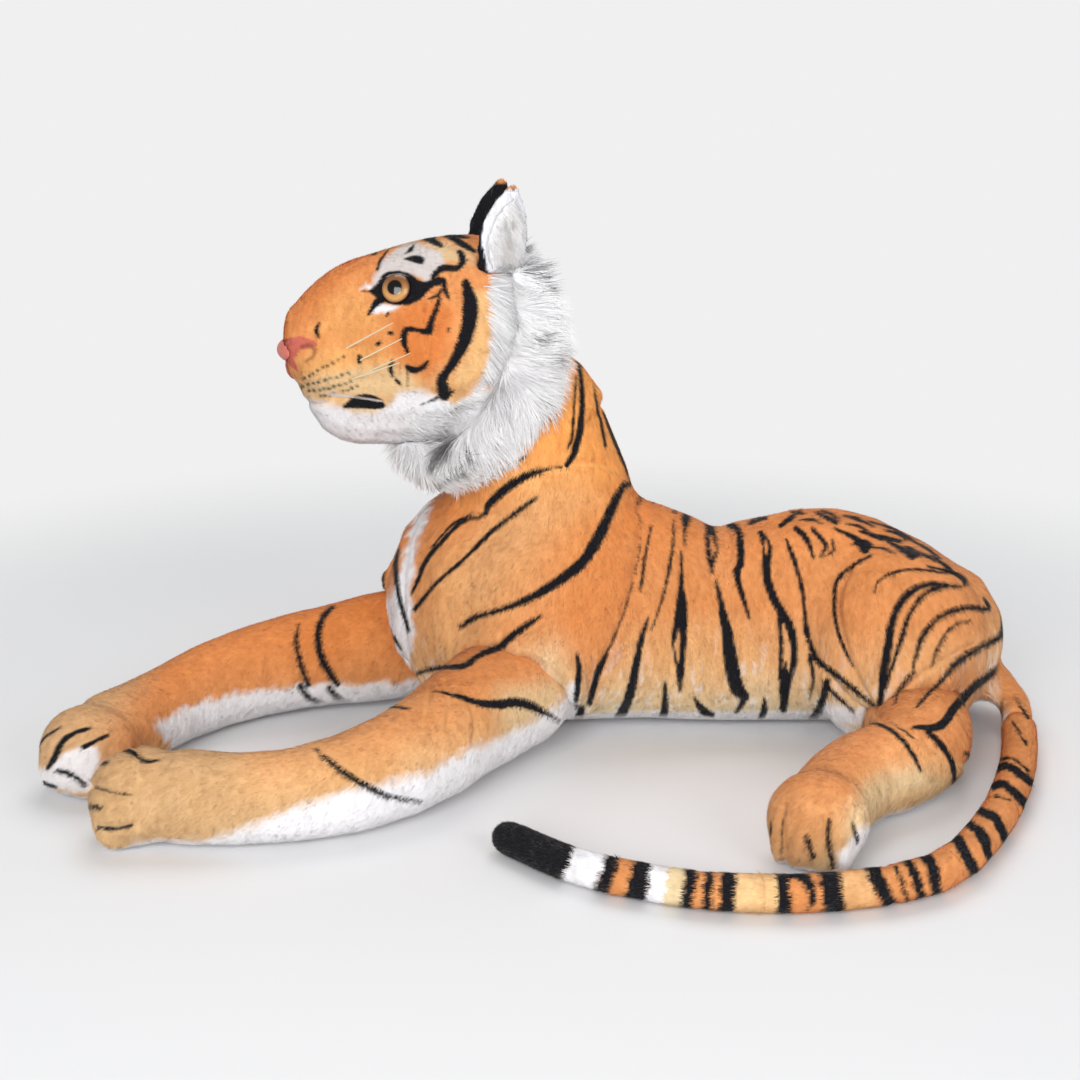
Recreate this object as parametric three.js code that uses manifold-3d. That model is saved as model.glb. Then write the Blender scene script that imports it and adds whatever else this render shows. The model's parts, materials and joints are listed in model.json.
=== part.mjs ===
// A plush tiger lying on its belly: stuffed body, neck, head and limbs, sewn-on ears and tail,
// moulded eyes and nose held by lock washers, long-pile cheek ruffs and nylon whiskers.
// Millimetres, +Z up. The spine runs along X with the head towards -X; the left side faces -Y.
import * as THREE from "three";
import { mergeVertices } from "three/addons/utils/BufferGeometryUtils.js";
import Module from "manifold-3d";

const wasm = await Module();
wasm.setup();

// Driving dimensions

const seamGap = 0.3; // between two pieces that are sewn face to face
const swingGap = 0.8; // round a piece that swings, at the ends of its travel
const seatShare = 1.036; // of a ball's size: its seat, whose flat facets clear the ball
const legRoom = 4; // round a leg where it leaves its ball, so that it can swing
const neckRoom = 11; // round the neck below its ball, so that the head can turn 12 degrees each way
const flatten = 4; // how far a round underside is pressed flat on the floor
const worldSize = 3000; // a block that is larger than the toy, to cut with

// Body
const spineLength = 420; // from the middle of the chest to the last pelvis section
const chestHeight = 250;
const chestWidth = 222;
const rumpDepth = 68; // how far the rump rounds off past the last section
const bellyPanelHeight = 30; // the white underside panel's upper edge
const chestTurn = 35; // degrees that the forequarters turn to the toy's left

// Forequarters, in the turned chest's own directions: forward, left and up
const shoulderSize = { length: 210, bulge: 124, height: 210 };
// How far each shoulder form's middle lies behind and beside the chest's middle
const shoulderPlaces = { left: { back: 12, out: 79 }, right: { back: 26, out: 60 } };
const shoulderTurn = 12; // degrees
const shoulderHeight = chestHeight * 0.488; // of the shoulder form's middle
const legRoot = { ahead: 44, out: 84, height: 62 };
const forelegReach = 357; // from the root to the paw's middle
const forelegBow = { left: 62, right: 54 }; // how far each leg bows outward on its way
const forelegToeIn = 26; // how far the paw lies inward of the root
const forelegGirth = 108; // diameter at the root
const forepawSize = { length: 88, width: 92, height: 84 };

// Hindquarters
const pelvisMiddle = spineLength * 0.852; // from the chest's middle
const pelvisTurn = 10; // degrees that the hips turn to the toy's left
const haunchSize = { length: 176, thickness: 132, height: 196 };
const haunchOut = 72; // from the spine to the haunch's middle
const haunchLead = { left: 0, right: 18 }; // how far each haunch lies forward of the pelvis
const haunchHeight = 90; // of its middle
const hindRoot = { back: 8, out: 46 }; // from the haunch's middle
const hindReach = 122; // how far the foot reaches forward of the root
const hindSplay = 204; // how far the foot reaches outward of the root
const hindGirth = 92; // diameter at the root
const hindPawSize = { length: 84, width: 86, height: 82 };

// Neck and head
const neckBaseGirth = 176;
const neckTopGirth = 146;
const neckBase = { back: 62, height: chestHeight * 0.6 };
const neckRise = 86; // from the chest's top to the middle of the ball that the head turns on
const neckTop = { ahead: 12, height: chestHeight + neckRise };
const headLength = 212; // from the nape to the last muzzle section
const headWidth = 172;
const headHeight = 190;
const headDrop = 59; // how far the chin's underside lies below the ball's middle
const headFloor = neckTop.height - headDrop;
const napeBack = 20; // how far the nape's section lies behind the chest's middle
const napeDepth = 32; // how far the head rounds off behind its first section
const snoutDepth = 11; // and ahead of its last
const headYaw = 7; // degrees that the head looks to the toy's left
const chinHeight = 35; // from the chin's underside to the mouth's line
const jawLine = headFloor + chinHeight;
const jawDepth = 72; // how far back the mouth's line runs from the muzzle's last section
const jawReach = 20; // how far the cut for the mouth reaches ahead of that section
const jawTilt = 14; // degrees that the mouth's line falls towards the nape

// Tail
const tailGirth = 33; // diameter at the root
const tailReach = 486; // how far it runs forward
const tailSweep = 439; // how far it comes round to the left
const tailSetback = 76; // how far the tail's root lies behind the end of the spine
const tailRoot = { behind: spineLength + tailSetback, right: 30, height: 74 };

// Moulded and sewn-on pieces of the face
const eyeDiameter = 27;
const eyeDome = 8; // how far the eye stands out
const eyeRim = 1; // how wide and how high the eye's edge is chamfered
const postDiameter = 5;
const postLength = 15;
const postRoom = 1; // past the end of the post
const washerDiameter = 22;
const washerThickness = 2;
const washerDrop = 1; // how far the washer lies behind the eye
const noseSize = { depth: 36, width: 54, height: 25 };
const noseStem = { depth: 20, width: 14, height: 30 };
const stemLead = 1; // how far the nose's stem lies ahead of its bar
const padSize = { length: 74, bulge: 48, height: 60 }; // the whisker pads
const padPlace = { back: 36, out: 27, above: 44 }; // from the muzzle's last section and the mouth's line
const whiskerDiameter = 1.8;
const whiskerTip = 0.8;
const whiskerLength = 78;
const whiskerBore = 24; // how long the hole is that its root sits in
const earHeight = 72;
const earWidth = 50;
const earThickness = 9;
const liningThickness = 4;
const earCaps = { root: 4, tip: 6 }; // how far the leaf rounds off at its ends
const liningInset = 6; // from the leaf's edge to the lining's
const earRoll = 7; // radius of the rolled root that the ear folds on
const earTurn = { lean: 8, tip: 7, open: 20 }; // degrees outward, forward and to the front
const ruffThickness = 26;
const ruffBreadth = 52;
const ruffCap = 12; // how far its ends round off

// How far each sewn seam gives, in degrees
const legSwingLimit = 6;
const earFlexLimit = 8;

// Facets: corners round a form, and sections along it
const bodySides = 22;
const bodySteps = 12;
const limbSides = 14;
const forelegSteps = 8;
const hindSteps = 7;
const neckSides = 18;
const neckSteps = 5;
const ballSides = 18; // round seats and whisker pads
const noseSides = 16;
const stemSides = 12;
const toeSides = 10;
const leafSides = 10; // ears and ruffs
const leafSteps = 5;
const rollSteps = 2;
const ruffSteps = 8;
const tailSides = 12;
const tailSteps = 4;
const turnedSides = 16; // eyes and washers
const whiskerSides = 6;
const capRings = 3;
const curveTension = 0.5;

// Colours
const orange = 0xd9843b;
const paleOrange = 0xe0a862;
const white = 0xece6e0;
const black = 0x1c1a1c;
const pink = 0xc4665c;
const amber = 0xc99a5e;
const plastic = 0xd8d8d4;
const bristle = 0xe6d3a0;

// Solids

// A closed geometry as a manifold solid.
function solidOf(geometry) {
  const bare = geometry.index ? geometry.toNonIndexed() : geometry;
  const merged = mergeVertices(
    new THREE.BufferGeometry().setAttribute("position", bare.getAttribute("position")),
    1e-4,
  );
  return new wasm.Manifold(
    new wasm.Mesh({
      numProp: 3,
      vertProperties: merged.attributes.position.array,
      triVerts: new Uint32Array(merged.index.array),
    }),
  );
}

// The largest connected piece of a solid.
function largest(solid) {
  return solid.decompose().sort((a, b) => b.volume() - a.volume())[0];
}

// A manifold solid as a geometry for a mesh.
function geometryOf(solid) {
  const made = solid.getMesh();
  const places = new Float32Array(made.numVert * 3);
  for (let i = 0; i < made.numVert; i++) {
    places.set(made.vertProperties.subarray(i * made.numProp, i * made.numProp + 3), i * 3);
  }
  const geometry = new THREE.BufferGeometry();
  geometry.setAttribute("position", new THREE.BufferAttribute(places, 3));
  geometry.setIndex(new THREE.BufferAttribute(made.triVerts, 1));
  geometry.computeVertexNormals();
  return geometry;
}

// A smooth value between the stations' own, at a share of the way along them.
function between(values, share) {
  const curve = new THREE.CatmullRomCurve3(
    values.map((v) => new THREE.Vector3(v, 0, 0)),
    false,
    "catmullrom",
    curveTension,
  );
  return curve.getPoint(share).x;
}

// A stuffed form: oval sections carried along a smooth path, closed by round ends.
// Each station is {at, wide, tall}: a point, and the half width and half height there.
// Sections stand square to the path, or with facing all face one way.
function stuffed(stations, { steps, sides, startCap, endCap, pad = 0, facing = null }) {
  const path = new THREE.CatmullRomCurve3(
    stations.map((s) => s.at),
    false,
    "catmullrom",
    curveTension,
  );
  const up = new THREE.Vector3(0, 0, 1);
  const rings = [];
  const addRing = (share, ahead, shrink) => {
    const along = facing ?? path.getTangent(share);
    const side = new THREE.Vector3().crossVectors(up, along).normalize();
    const top = new THREE.Vector3().crossVectors(along, side);
    const wide = (between(stations.map((s) => s.wide), share) + pad) * shrink;
    const tall = (between(stations.map((s) => s.tall), share) + pad) * shrink;
    const middle = path.getPoint(share).addScaledVector(along, ahead);
    const ring = [];
    for (let i = 0; i < sides; i++) {
      const turn = (2 * Math.PI * i) / sides;
      ring.push(
        middle
          .clone()
          .addScaledVector(side, wide * Math.cos(turn))
          .addScaledVector(top, tall * Math.sin(turn)),
      );
    }
    rings.push(ring);
  };
  const quarter = (i) => ((Math.PI / 2) * i) / capRings;
  for (let i = capRings - 1; i > 0; i--) {
    addRing(0, -(startCap + pad) * Math.sin(quarter(i)), Math.cos(quarter(i)));
  }
  for (let i = 0; i <= steps; i++) addRing(i / steps, 0, 1);
  for (let i = 1; i < capRings; i++) {
    addRing(1, (endCap + pad) * Math.sin(quarter(i)), Math.cos(quarter(i)));
  }
  const tipOf = (share, ahead) =>
    path.getPoint(share).addScaledVector(facing ?? path.getTangent(share), ahead);
  const corners = [];
  const triangle = (...points) => points.forEach((p) => corners.push(p.x, p.y, p.z));
  const first = tipOf(0, -(startCap + pad));
  const last = tipOf(1, endCap + pad);
  for (let i = 0; i < sides; i++) {
    const j = (i + 1) % sides;
    triangle(first, rings[0][j], rings[0][i]);
    for (let k = 0; k + 1 < rings.length; k++) {
      triangle(rings[k][i], rings[k][j], rings[k + 1][j]);
      triangle(rings[k][i], rings[k + 1][j], rings[k + 1][i]);
    }
    triangle(last, rings[rings.length - 1][i], rings[rings.length - 1][j]);
  }
  const geometry = new THREE.BufferGeometry();
  geometry.setAttribute("position", new THREE.BufferAttribute(new Float32Array(corners), 3));
  return solidOf(geometry);
}

// An ellipsoid with these full sizes along X, Y and Z.
function ellipsoid(size, { sides = bodySides, pad = 0 } = {}) {
  const geometry = new THREE.SphereGeometry(1, sides, sides / 2);
  geometry.scale(size.x / 2 + pad, size.y / 2 + pad, size.z / 2 + pad);
  return solidOf(geometry);
}

// What lies above a height.
function above(height) {
  const block = new THREE.BoxGeometry(worldSize, worldSize, worldSize);
  block.translate(0, 0, height + worldSize / 2);
  return solidOf(block);
}

// solid turned about an axis through a pivot by some degrees.
function turned(solid, pivot, axis, degrees) {
  const matrix = new THREE.Matrix4()
    .makeTranslation(pivot.x, pivot.y, pivot.z)
    .multiply(new THREE.Matrix4().makeRotationAxis(axis, THREE.MathUtils.degToRad(degrees)))
    .multiply(new THREE.Matrix4().makeTranslation(-pivot.x, -pivot.y, -pivot.z));
  return solid.transform(matrix.toArray());
}

const upright = new THREE.Vector3(0, 0, 1);

// The round seat for a ball of this radius at a point.
function ballSeat(point, radius) {
  const across = radius * seatShare * 2;
  const seat = ellipsoid(new THREE.Vector3(across, across, across), { sides: ballSides });
  return seat.translate([point.x, point.y, point.z]);
}

// The forequarters' own directions

const turn = THREE.MathUtils.degToRad(chestTurn);
const chestForward = new THREE.Vector3(-Math.cos(turn), -Math.sin(turn), 0);
const chestLeft = new THREE.Vector3(Math.sin(turn), -Math.cos(turn), 0);
const chestMiddle = new THREE.Vector3(0, 0, chestHeight / 2 - flatten);

// A point ahead of, beside and above the floor under the chest's middle.
function fromChest(ahead, left, height) {
  return new THREE.Vector3(0, 0, height)
    .addScaledVector(chestForward, ahead)
    .addScaledVector(chestLeft, left);
}

// Body

// Shares of the spine's length, the chest's width and the chest's height.
const torsoShares = [
  [0, 1, 1],
  [0.18, 0.96, 0.955],
  [0.34, 0.87, 0.86],
  [0.455, 0.82, 0.775],
  [0.57, 0.8, 0.76],
  [0.73, 0.78, 0.735],
  [0.88, 0.74, 0.69],
  [1, 0.68, 0.64],
];

function torsoForm(pad = 0) {
  const stations = torsoShares.map(([along, wide, tall]) => ({
    at: new THREE.Vector3(along * spineLength, 0, (tall * chestHeight) / 2 - flatten),
    wide: (wide * chestWidth) / 2,
    tall: (tall * chestHeight) / 2,
  }));
  return stuffed(stations, {
    steps: bodySteps,
    sides: bodySides,
    startCap: chestWidth / 2 + flatten * 2,
    endCap: rumpDepth,
    pad,
  });
}

const torso = torsoForm();
const torsoCutter = torsoForm(seamGap);

// Forequarters

// Shares of the reach, the bow, the toe-in, the girth's width and its height.
const forelegShares = [
  [0, 0, 0, 1, 1],
  [0.16, 0.32, 0, 0.93, 0.98],
  [0.36, 0.82, 0, 0.85, 0.91],
  [0.56, 1, 0.1, 0.77, 0.82],
  [0.76, 0.76, 0.4, 0.72, 0.71],
  [0.93, 0.27, 0.81, 0.75, 0.75],
];
const rootHold = 0.45; // the share of the leg along which it comes down to the floor

// side is 1 for the left and -1 for the right.
function legRootPoint(side) {
  return fromChest(legRoot.ahead, side * legRoot.out, legRoot.height);
}

function forelegPoint(side, along, bow, toeIn, tall) {
  const resting = (tall * forelegGirth) / 2 - flatten / 2;
  const bowOut = bow * (side > 0 ? forelegBow.left : forelegBow.right);
  return fromChest(
    legRoot.ahead + along * forelegReach,
    side * (legRoot.out + bowOut - toeIn * forelegToeIn),
    THREE.MathUtils.lerp(legRoot.height, resting, Math.min(1, along / rootHold)),
  );
}

function forelegForm(side, pad = 0, startCap = forelegGirth / 2) {
  const stations = forelegShares.map(([along, bow, toeIn, wide, tall]) => ({
    at: forelegPoint(side, along, bow, toeIn, tall),
    wide: (wide * forelegGirth) / 2,
    tall: (tall * forelegGirth) / 2,
  }));
  const size = { steps: forelegSteps, sides: limbSides, startCap, endCap: forepawSize.height / 4 };
  return stuffed(stations, { ...size, pad }).intersect(above(0));
}

// An ellipsoid turned about Z to look along a direction, at a point.
function placedEllipsoid(size, point, forward, options) {
  const angle = THREE.MathUtils.radToDeg(Math.atan2(forward.y, forward.x));
  return ellipsoid(size, options).rotate([0, 0, angle]).translate([point.x, point.y, point.z]);
}

// A paw's toes, as shares of the paw's own size: where they stand across it, how large they are,
// how far ahead of its middle and how high they sit, and how far the outer ones draw back.
const toeShares = {
  across: [-0.28, -0.095, 0.095, 0.28],
  length: 0.5,
  width: 0.28,
  height: 0.66,
  ahead: 0.25,
  rise: 0.33,
  draw: 1.1,
};

// A paw with four toes: the toes fan across its front.
function pawForm(size, middle, forward) {
  const box = new THREE.Vector3(size.length, size.width, size.height);
  let paw = placedEllipsoid(box, middle, forward, { sides: limbSides });
  const across = new THREE.Vector3().crossVectors(upright, forward);
  const toe = new THREE.Vector3(
    size.length * toeShares.length,
    size.width * toeShares.width,
    size.height * toeShares.height,
  );
  for (const share of toeShares.across) {
    const drawn = 1 - Math.abs(share) * toeShares.draw;
    const point = middle
      .clone()
      .addScaledVector(forward, size.length * toeShares.ahead * drawn)
      .addScaledVector(across, size.width * share)
      .setZ(size.height * toeShares.rise - flatten / 2);
    paw = paw.add(placedEllipsoid(toe, point, forward, { sides: toeSides }));
  }
  return paw.intersect(above(0));
}

function forepawForm(side) {
  const last = forelegShares[forelegShares.length - 1];
  const previous = forelegShares[forelegShares.length - 2];
  const middle = fromChest(
    legRoot.ahead + forelegReach,
    side * (legRoot.out - forelegToeIn),
    forepawSize.height / 2 - flatten,
  );
  const forward = forelegPoint(side, ...last.slice(0, 3), 1)
    .sub(forelegPoint(side, ...previous.slice(0, 3), 1))
    .setZ(0)
    .normalize();
  return pawForm(forepawSize, middle, forward);
}

function shoulderForm(side) {
  const box = new THREE.Vector3(shoulderSize.length, shoulderSize.bulge, shoulderSize.height);
  const angle = THREE.MathUtils.degToRad(shoulderTurn);
  const forward = new THREE.Vector3(-Math.cos(angle), -Math.sin(angle), 0);
  const { back, out } = side > 0 ? shoulderPlaces.left : shoulderPlaces.right;
  return placedEllipsoid(box, fromChest(-back, side * out, shoulderHeight), forward);
}

// Hindquarters

const hipTurn = THREE.MathUtils.degToRad(pelvisTurn);
const hipForward = new THREE.Vector3(-Math.cos(hipTurn), -Math.sin(hipTurn), 0);
const hipLeft = new THREE.Vector3(Math.sin(hipTurn), -Math.cos(hipTurn), 0);

function haunchPoint(side) {
  const lead = side > 0 ? haunchLead.left : haunchLead.right;
  return new THREE.Vector3(pelvisMiddle - lead, 0, haunchHeight).addScaledVector(hipLeft, side * haunchOut);
}

function haunchForm(side) {
  const box = new THREE.Vector3(haunchSize.length, haunchSize.thickness, haunchSize.height);
  return placedEllipsoid(box, haunchPoint(side), hipForward).intersect(above(0));
}

// Shares of the reach forward, the splay outward, the girth's width and its height.
const hindShares = [
  [0, 0, 1, 0.96],
  [0.04, 0.26, 0.96, 0.94],
  [0.3, 0.48, 0.88, 0.9],
  [0.64, 0.62, 0.84, 0.86],
  [0.87, 0.82, 0.82, 0.82],
];

function hindPoint(side, forward, out, tall) {
  const root = haunchPoint(side);
  const resting = (tall * hindGirth) / 2 - flatten;
  return root.set(
    root.x + hindRoot.back - forward * hindReach,
    root.y - side * (hindRoot.out + out * hindSplay),
    resting,
  );
}

function hindRootPoint(side) {
  return hindPoint(side, 0, 0, hindShares[0][3]);
}

function hindLegForm(side, pad = 0, startCap = hindGirth / 2) {
  const stations = hindShares.map(([forward, out, wide, tall]) => ({
    at: hindPoint(side, forward, out, tall),
    wide: (wide * hindGirth) / 2,
    tall: (tall * hindGirth) / 2,
  }));
  const size = { steps: hindSteps, sides: limbSides, startCap, endCap: hindPawSize.height / 4 };
  return stuffed(stations, { ...size, pad }).intersect(above(0));
}

const hindPawWay = { forward: 0.35, outward: 0.94 }; // the way that the hind toes point

function hindPawForm(side) {
  const middle = hindPoint(side, 1, 1, 1).setZ(hindPawSize.height / 2 - flatten);
  const forward = new THREE.Vector3(-hindPawWay.forward, -side * hindPawWay.outward, 0).normalize();
  return pawForm(hindPawSize, middle, forward);
}

// Neck

// Shares of the neck's rise, its lean forward and the girth at its base.
const neckShares = [
  [0, 0, 1],
  [0.6, 0.5, 0.96],
  [0.86, 0.82, 0.85],
  [1, 1, neckTopGirth / neckBaseGirth],
];

function neckForm(pad = 0, endCap = neckTopGirth / 2) {
  const base = neckBaseGirth / 2;
  const stations = neckShares.map(([rise, lean, girth]) => {
    const radius = base * girth;
    return {
      at: new THREE.Vector3(
        THREE.MathUtils.lerp(neckBase.back, -neckTop.ahead, lean),
        0,
        THREE.MathUtils.lerp(neckBase.height, neckTop.height, rise),
      ),
      wide: radius,
      tall: radius,
    };
  });
  return stuffed(stations, { steps: neckSteps, sides: neckSides, startCap: base / 2, endCap, pad });
}

const neckPivot = new THREE.Vector3(-neckTop.ahead, 0, neckTop.height);

// Head, built looking along -X and then turned to look a little to the left

function lookLeft(solid) {
  return turned(solid, neckPivot, upright, headYaw);
}

// Shares of the length from the nape, the width, and the heights of underside and top.
const headShares = [
  [0, 0.74, 0.17, 0.93],
  [0.12, 0.9, 0.1, 0.99],
  [0.27, 1, 0.03, 1.015],
  [0.46, 0.94, 0, 0.99],
  [0.64, 0.74, 0, 0.935],
  [0.79, 0.57, 0.01, 0.885],
  [0.91, 0.46, 0.1, 0.795],
  [1, 0.33, 0.32, 0.69],
];

function headForm(pad = 0) {
  const stations = headShares.map(([along, wide, low, high]) => ({
    at: new THREE.Vector3(napeBack - along * headLength, 0, headFloor + ((low + high) / 2) * headHeight),
    wide: (wide * headWidth) / 2,
    tall: ((high - low) / 2) * headHeight,
  }));
  return stuffed(stations, {
    steps: bodySteps,
    sides: bodySides,
    startCap: napeDepth,
    endCap: snoutDepth,
    pad,
    facing: new THREE.Vector3(-1, 0, 0),
  });
}

const muzzleEnd = napeBack - headLength;

// A point of the head from its shares of length, half width and height.
function headPoint({ along, out, up }, side) {
  return new THREE.Vector3(
    napeBack - along * headLength,
    -side * out * (headWidth / 2),
    headFloor + up * headHeight,
  );
}

// The block below the mouth's line that the chin is cut from.
function jawBlock(pad) {
  const long = jawReach + jawDepth;
  const block = new THREE.BoxGeometry(long, headWidth * 2, headHeight);
  block.translate(muzzleEnd - jawReach + long / 2 + pad, 0, jawLine + pad - headHeight / 2);
  const corner = new THREE.Vector3(muzzleEnd, 0, jawLine);
  return turned(solidOf(block), corner, new THREE.Vector3(0, 1, 0), jawTilt);
}

// Each whisker pad's middle.
function padPoint(side) {
  return new THREE.Vector3(muzzleEnd + padPlace.back, -side * padPlace.out, jawLine + padPlace.above);
}

const padWay = { forward: 0.95, inward: 0.3 }; // the way that a pad points

function padForm(side) {
  const box = new THREE.Vector3(padSize.length, padSize.bulge, padSize.height);
  const forward = new THREE.Vector3(-padWay.forward, side * padWay.inward, 0).normalize();
  return placedEllipsoid(box, padPoint(side), forward, { sides: ballSides });
}

// The eye's place: shares of the head's length from the nape's section, of its half width and height.
const eyePlaceShares = { along: 0.566, out: 0.605, up: 0.789 };
const eyeGaze = { forward: 0.3, outward: 0.88, upward: 0.36 };

// Where an eye sits and the way it looks, with a frame to place its solids in.
function eyeFrame(side) {
  const point = headPoint(eyePlaceShares, side);
  const gaze = new THREE.Vector3(-eyeGaze.forward, -side * eyeGaze.outward, eyeGaze.upward).normalize();
  const spin = new THREE.Quaternion().setFromUnitVectors(upright, gaze);
  return new THREE.Matrix4().compose(point, spin, new THREE.Vector3(1, 1, 1));
}

function latheSolid(outline, sides = turnedSides) {
  const points = outline.map(([r, h]) => new THREE.Vector2(r, h));
  return solidOf(new THREE.LatheGeometry([...points, points[0]], sides).rotateX(Math.PI / 2));
}

// The dome's outline: shares of the eye's radius and of the dome's height.
const domeShares = [
  [0.9, 0.45],
  [0.64, 0.78],
  [0.3, 0.96],
  [0, 1],
];

function eyeForm() {
  const radius = eyeDiameter / 2;
  return latheSolid([
    [0, -postLength],
    [postDiameter / 2, -postLength],
    [postDiameter / 2, 0],
    [radius - eyeRim, 0],
    [radius, eyeRim],
    ...domeShares.map(([out, up]) => [out * radius, up * eyeDome]),
  ]);
}

function washerForm() {
  const inner = postDiameter / 2 + seamGap;
  return latheSolid([
    [inner, -washerDrop - washerThickness],
    [washerDiameter / 2, -washerDrop - washerThickness],
    [washerDiameter / 2, -washerDrop],
    [inner, -washerDrop],
  ]);
}

// The open socket behind the eye: a bore for its post, a step for the washer and room for its rim.
function socketForm() {
  const bore = postDiameter / 2 + seamGap;
  const step = washerDiameter / 2 + seamGap;
  const rim = eyeDiameter / 2 + seamGap;
  const floor = -washerDrop - washerThickness - seamGap;
  return latheSolid([
    [0, -postLength - postRoom],
    [bore, -postLength - postRoom],
    [bore, floor],
    [step, floor],
    [step, -seamGap],
    [rim, -seamGap],
    [rim, eyeDiameter],
    [0, eyeDiameter],
  ]);
}

// How high the nose's bar and its stem lie, as shares of the head's height.
const noseShares = { bar: 0.475, stem: 0.4 };

function noseForm() {
  const bar = new THREE.Vector3(noseSize.depth, noseSize.width, noseSize.height);
  const stem = new THREE.Vector3(noseStem.depth, noseStem.width, noseStem.height);
  const barAt = [muzzleEnd, 0, headFloor + headHeight * noseShares.bar];
  const stemAt = [muzzleEnd - stemLead, 0, headFloor + headHeight * noseShares.stem];
  return ellipsoid(bar, { sides: noseSides })
    .translate(barAt)
    .add(ellipsoid(stem, { sides: stemSides }).translate(stemAt));
}

// Whiskers: shares of the pad's length and height from its middle for each root, and how steeply
// it rises.
const whiskerRows = [
  [0.08, 0.26, 0.45],
  [0.18, 0.04, 0.44],
  [0.26, -0.13, 0.4],
  [0.12, -0.2, 0.34],
];

const whiskerDepth = 0.34; // how far out its root lies, as a share of the pad's bulge
const whiskerWay = { back: 0.62, outward: 0.78 };

function whiskerFrame(side, [along, up, lift]) {
  const point = padPoint(side);
  point.x += along * padSize.length;
  point.z += up * padSize.height;
  point.y -= side * padSize.bulge * whiskerDepth;
  const way = new THREE.Vector3(whiskerWay.back, -side * whiskerWay.outward, lift).normalize();
  const spin = new THREE.Quaternion().setFromUnitVectors(upright, way);
  return new THREE.Matrix4().compose(point, spin, new THREE.Vector3(1, 1, 1));
}

function whiskerForm(pad = 0) {
  const top = pad ? whiskerBore : whiskerLength;
  const tip = pad ? whiskerDiameter : whiskerTip;
  return latheSolid(
    [
      [0, -pad],
      [whiskerDiameter / 2 + pad, -pad],
      [tip / 2 + pad, top],
      [0, top],
    ],
    whiskerSides,
  );
}

// An ear: a leaf that stands on a rolled root. Shares of its half width up its height.
const earShares = [
  [0, 0.86],
  [0.2, 1],
  [0.42, 0.97],
  [0.62, 0.82],
  [0.8, 0.58],
  [0.93, 0.28],
];

function leafForm(thickness, inset, cup) {
  const stations = earShares.map(([rise, wide]) => ({
    at: new THREE.Vector3(0, cup * Math.sin(Math.PI * rise), rise * (earHeight - inset * 2) + inset),
    wide: (wide * earWidth) / 2 - inset,
    tall: thickness / 2,
  }));
  return leafStuffed(stations);
}

// The leaf's sections lie flat across its height, wide along X.
function leafStuffed(stations) {
  const laid = stations.map((s) => ({ ...s, at: new THREE.Vector3(0, -s.at.z, s.at.y) }));
  const size = { steps: leafSteps, sides: leafSides, startCap: earCaps.root, endCap: earCaps.tip };
  return stuffed(laid, size).rotate([-90, 0, 0]);
}

// The ear's place on the head: shares of its length from the nape's section, half width and height.
const earPlaceShares = { along: 0.1274, out: 0.535, up: 0.879 };

// The ear's place on the head: leaned outward and turned to open to the side and front.
function placeEar(solid, side) {
  const opened = side > 0 ? solid : solid.rotate([0, 0, 180]);
  const at = headPoint(earPlaceShares, side);
  return opened
    .rotate([side * earTurn.lean, earTurn.tip, side * earTurn.open])
    .translate([at.x, at.y, at.z]);
}

const earCup = earThickness * 0.5; // how far the leaf bows backward
const rollLength = earWidth * 0.62;

function earRollForm(pad = 0) {
  const roll = new THREE.CapsuleGeometry(earRoll + pad, rollLength, rollSteps, leafSides);
  return solidOf(roll.rotateZ(Math.PI / 2));
}

function earBackForm() {
  return leafForm(earThickness, 0, earCup).add(earRollForm());
}

// The room in the head for the ear's root and its swing.
function earRoom() {
  const leaf = leafForm(earThickness + (swingGap + liningThickness) * 2, -swingGap, earCup);
  const swing = (angle) => turned(leaf, new THREE.Vector3(), new THREE.Vector3(1, 0, 0), angle);
  return earRollForm(swingGap).add(swing(earFlexLimit)).add(swing(-earFlexLimit));
}

function earLiningForm() {
  const lift = earThickness / 2 + liningThickness / 2;
  return leafForm(liningThickness, liningInset, earCup)
    .translate([0, -lift, 0])
    .subtract(leafForm(earThickness + seamGap * 2, -seamGap, earCup))
    .subtract(earRollForm(seamGap));
}

// Ruffs: from behind the ear, down behind the cheek and in under the jaw.
// Shares of the head's length behind its muzzle end, of its half width and of its height.
const ruffShares = [
  [0.97, 0.72, 0.84, 0.5],
  [1.02, 0.84, 0.58, 0.85],
  [0.97, 0.95, 0.36, 1],
  [0.85, 0.98, 0.12, 1],
  [0.71, 0.84, -0.02, 0.95],
  [0.58, 0.56, -0.06, 0.85],
  [0.46, 0.24, -0.03, 0.6],
];

function ruffForm(side) {
  const stations = ruffShares.map(([along, out, height, girth]) => ({
    at: new THREE.Vector3(
      muzzleEnd + along * headLength,
      -side * out * (headWidth / 2),
      headFloor + height * headHeight,
    ),
    wide: (girth * ruffThickness) / 2,
    tall: (girth * ruffBreadth) / 2,
  }));
  return crescent(stations, side);
}

// The same as stuffed, with the sections' short way pointing outward from the head.
function crescent(stations, side) {
  const laid = stations.map((s) => ({ ...s, at: new THREE.Vector3(s.at.x, s.at.z, -s.at.y * side) }));
  const swapped = laid.map((s) => ({ at: s.at, wide: s.tall, tall: s.wide }));
  const size = { steps: ruffSteps, sides: leafSides, startCap: ruffCap, endCap: ruffCap };
  const upturned = stuffed(swapped, size).rotate([90, 0, 0]);
  return side > 0 ? upturned : upturned.mirror([0, 1, 0]);
}

// Tail

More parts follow.
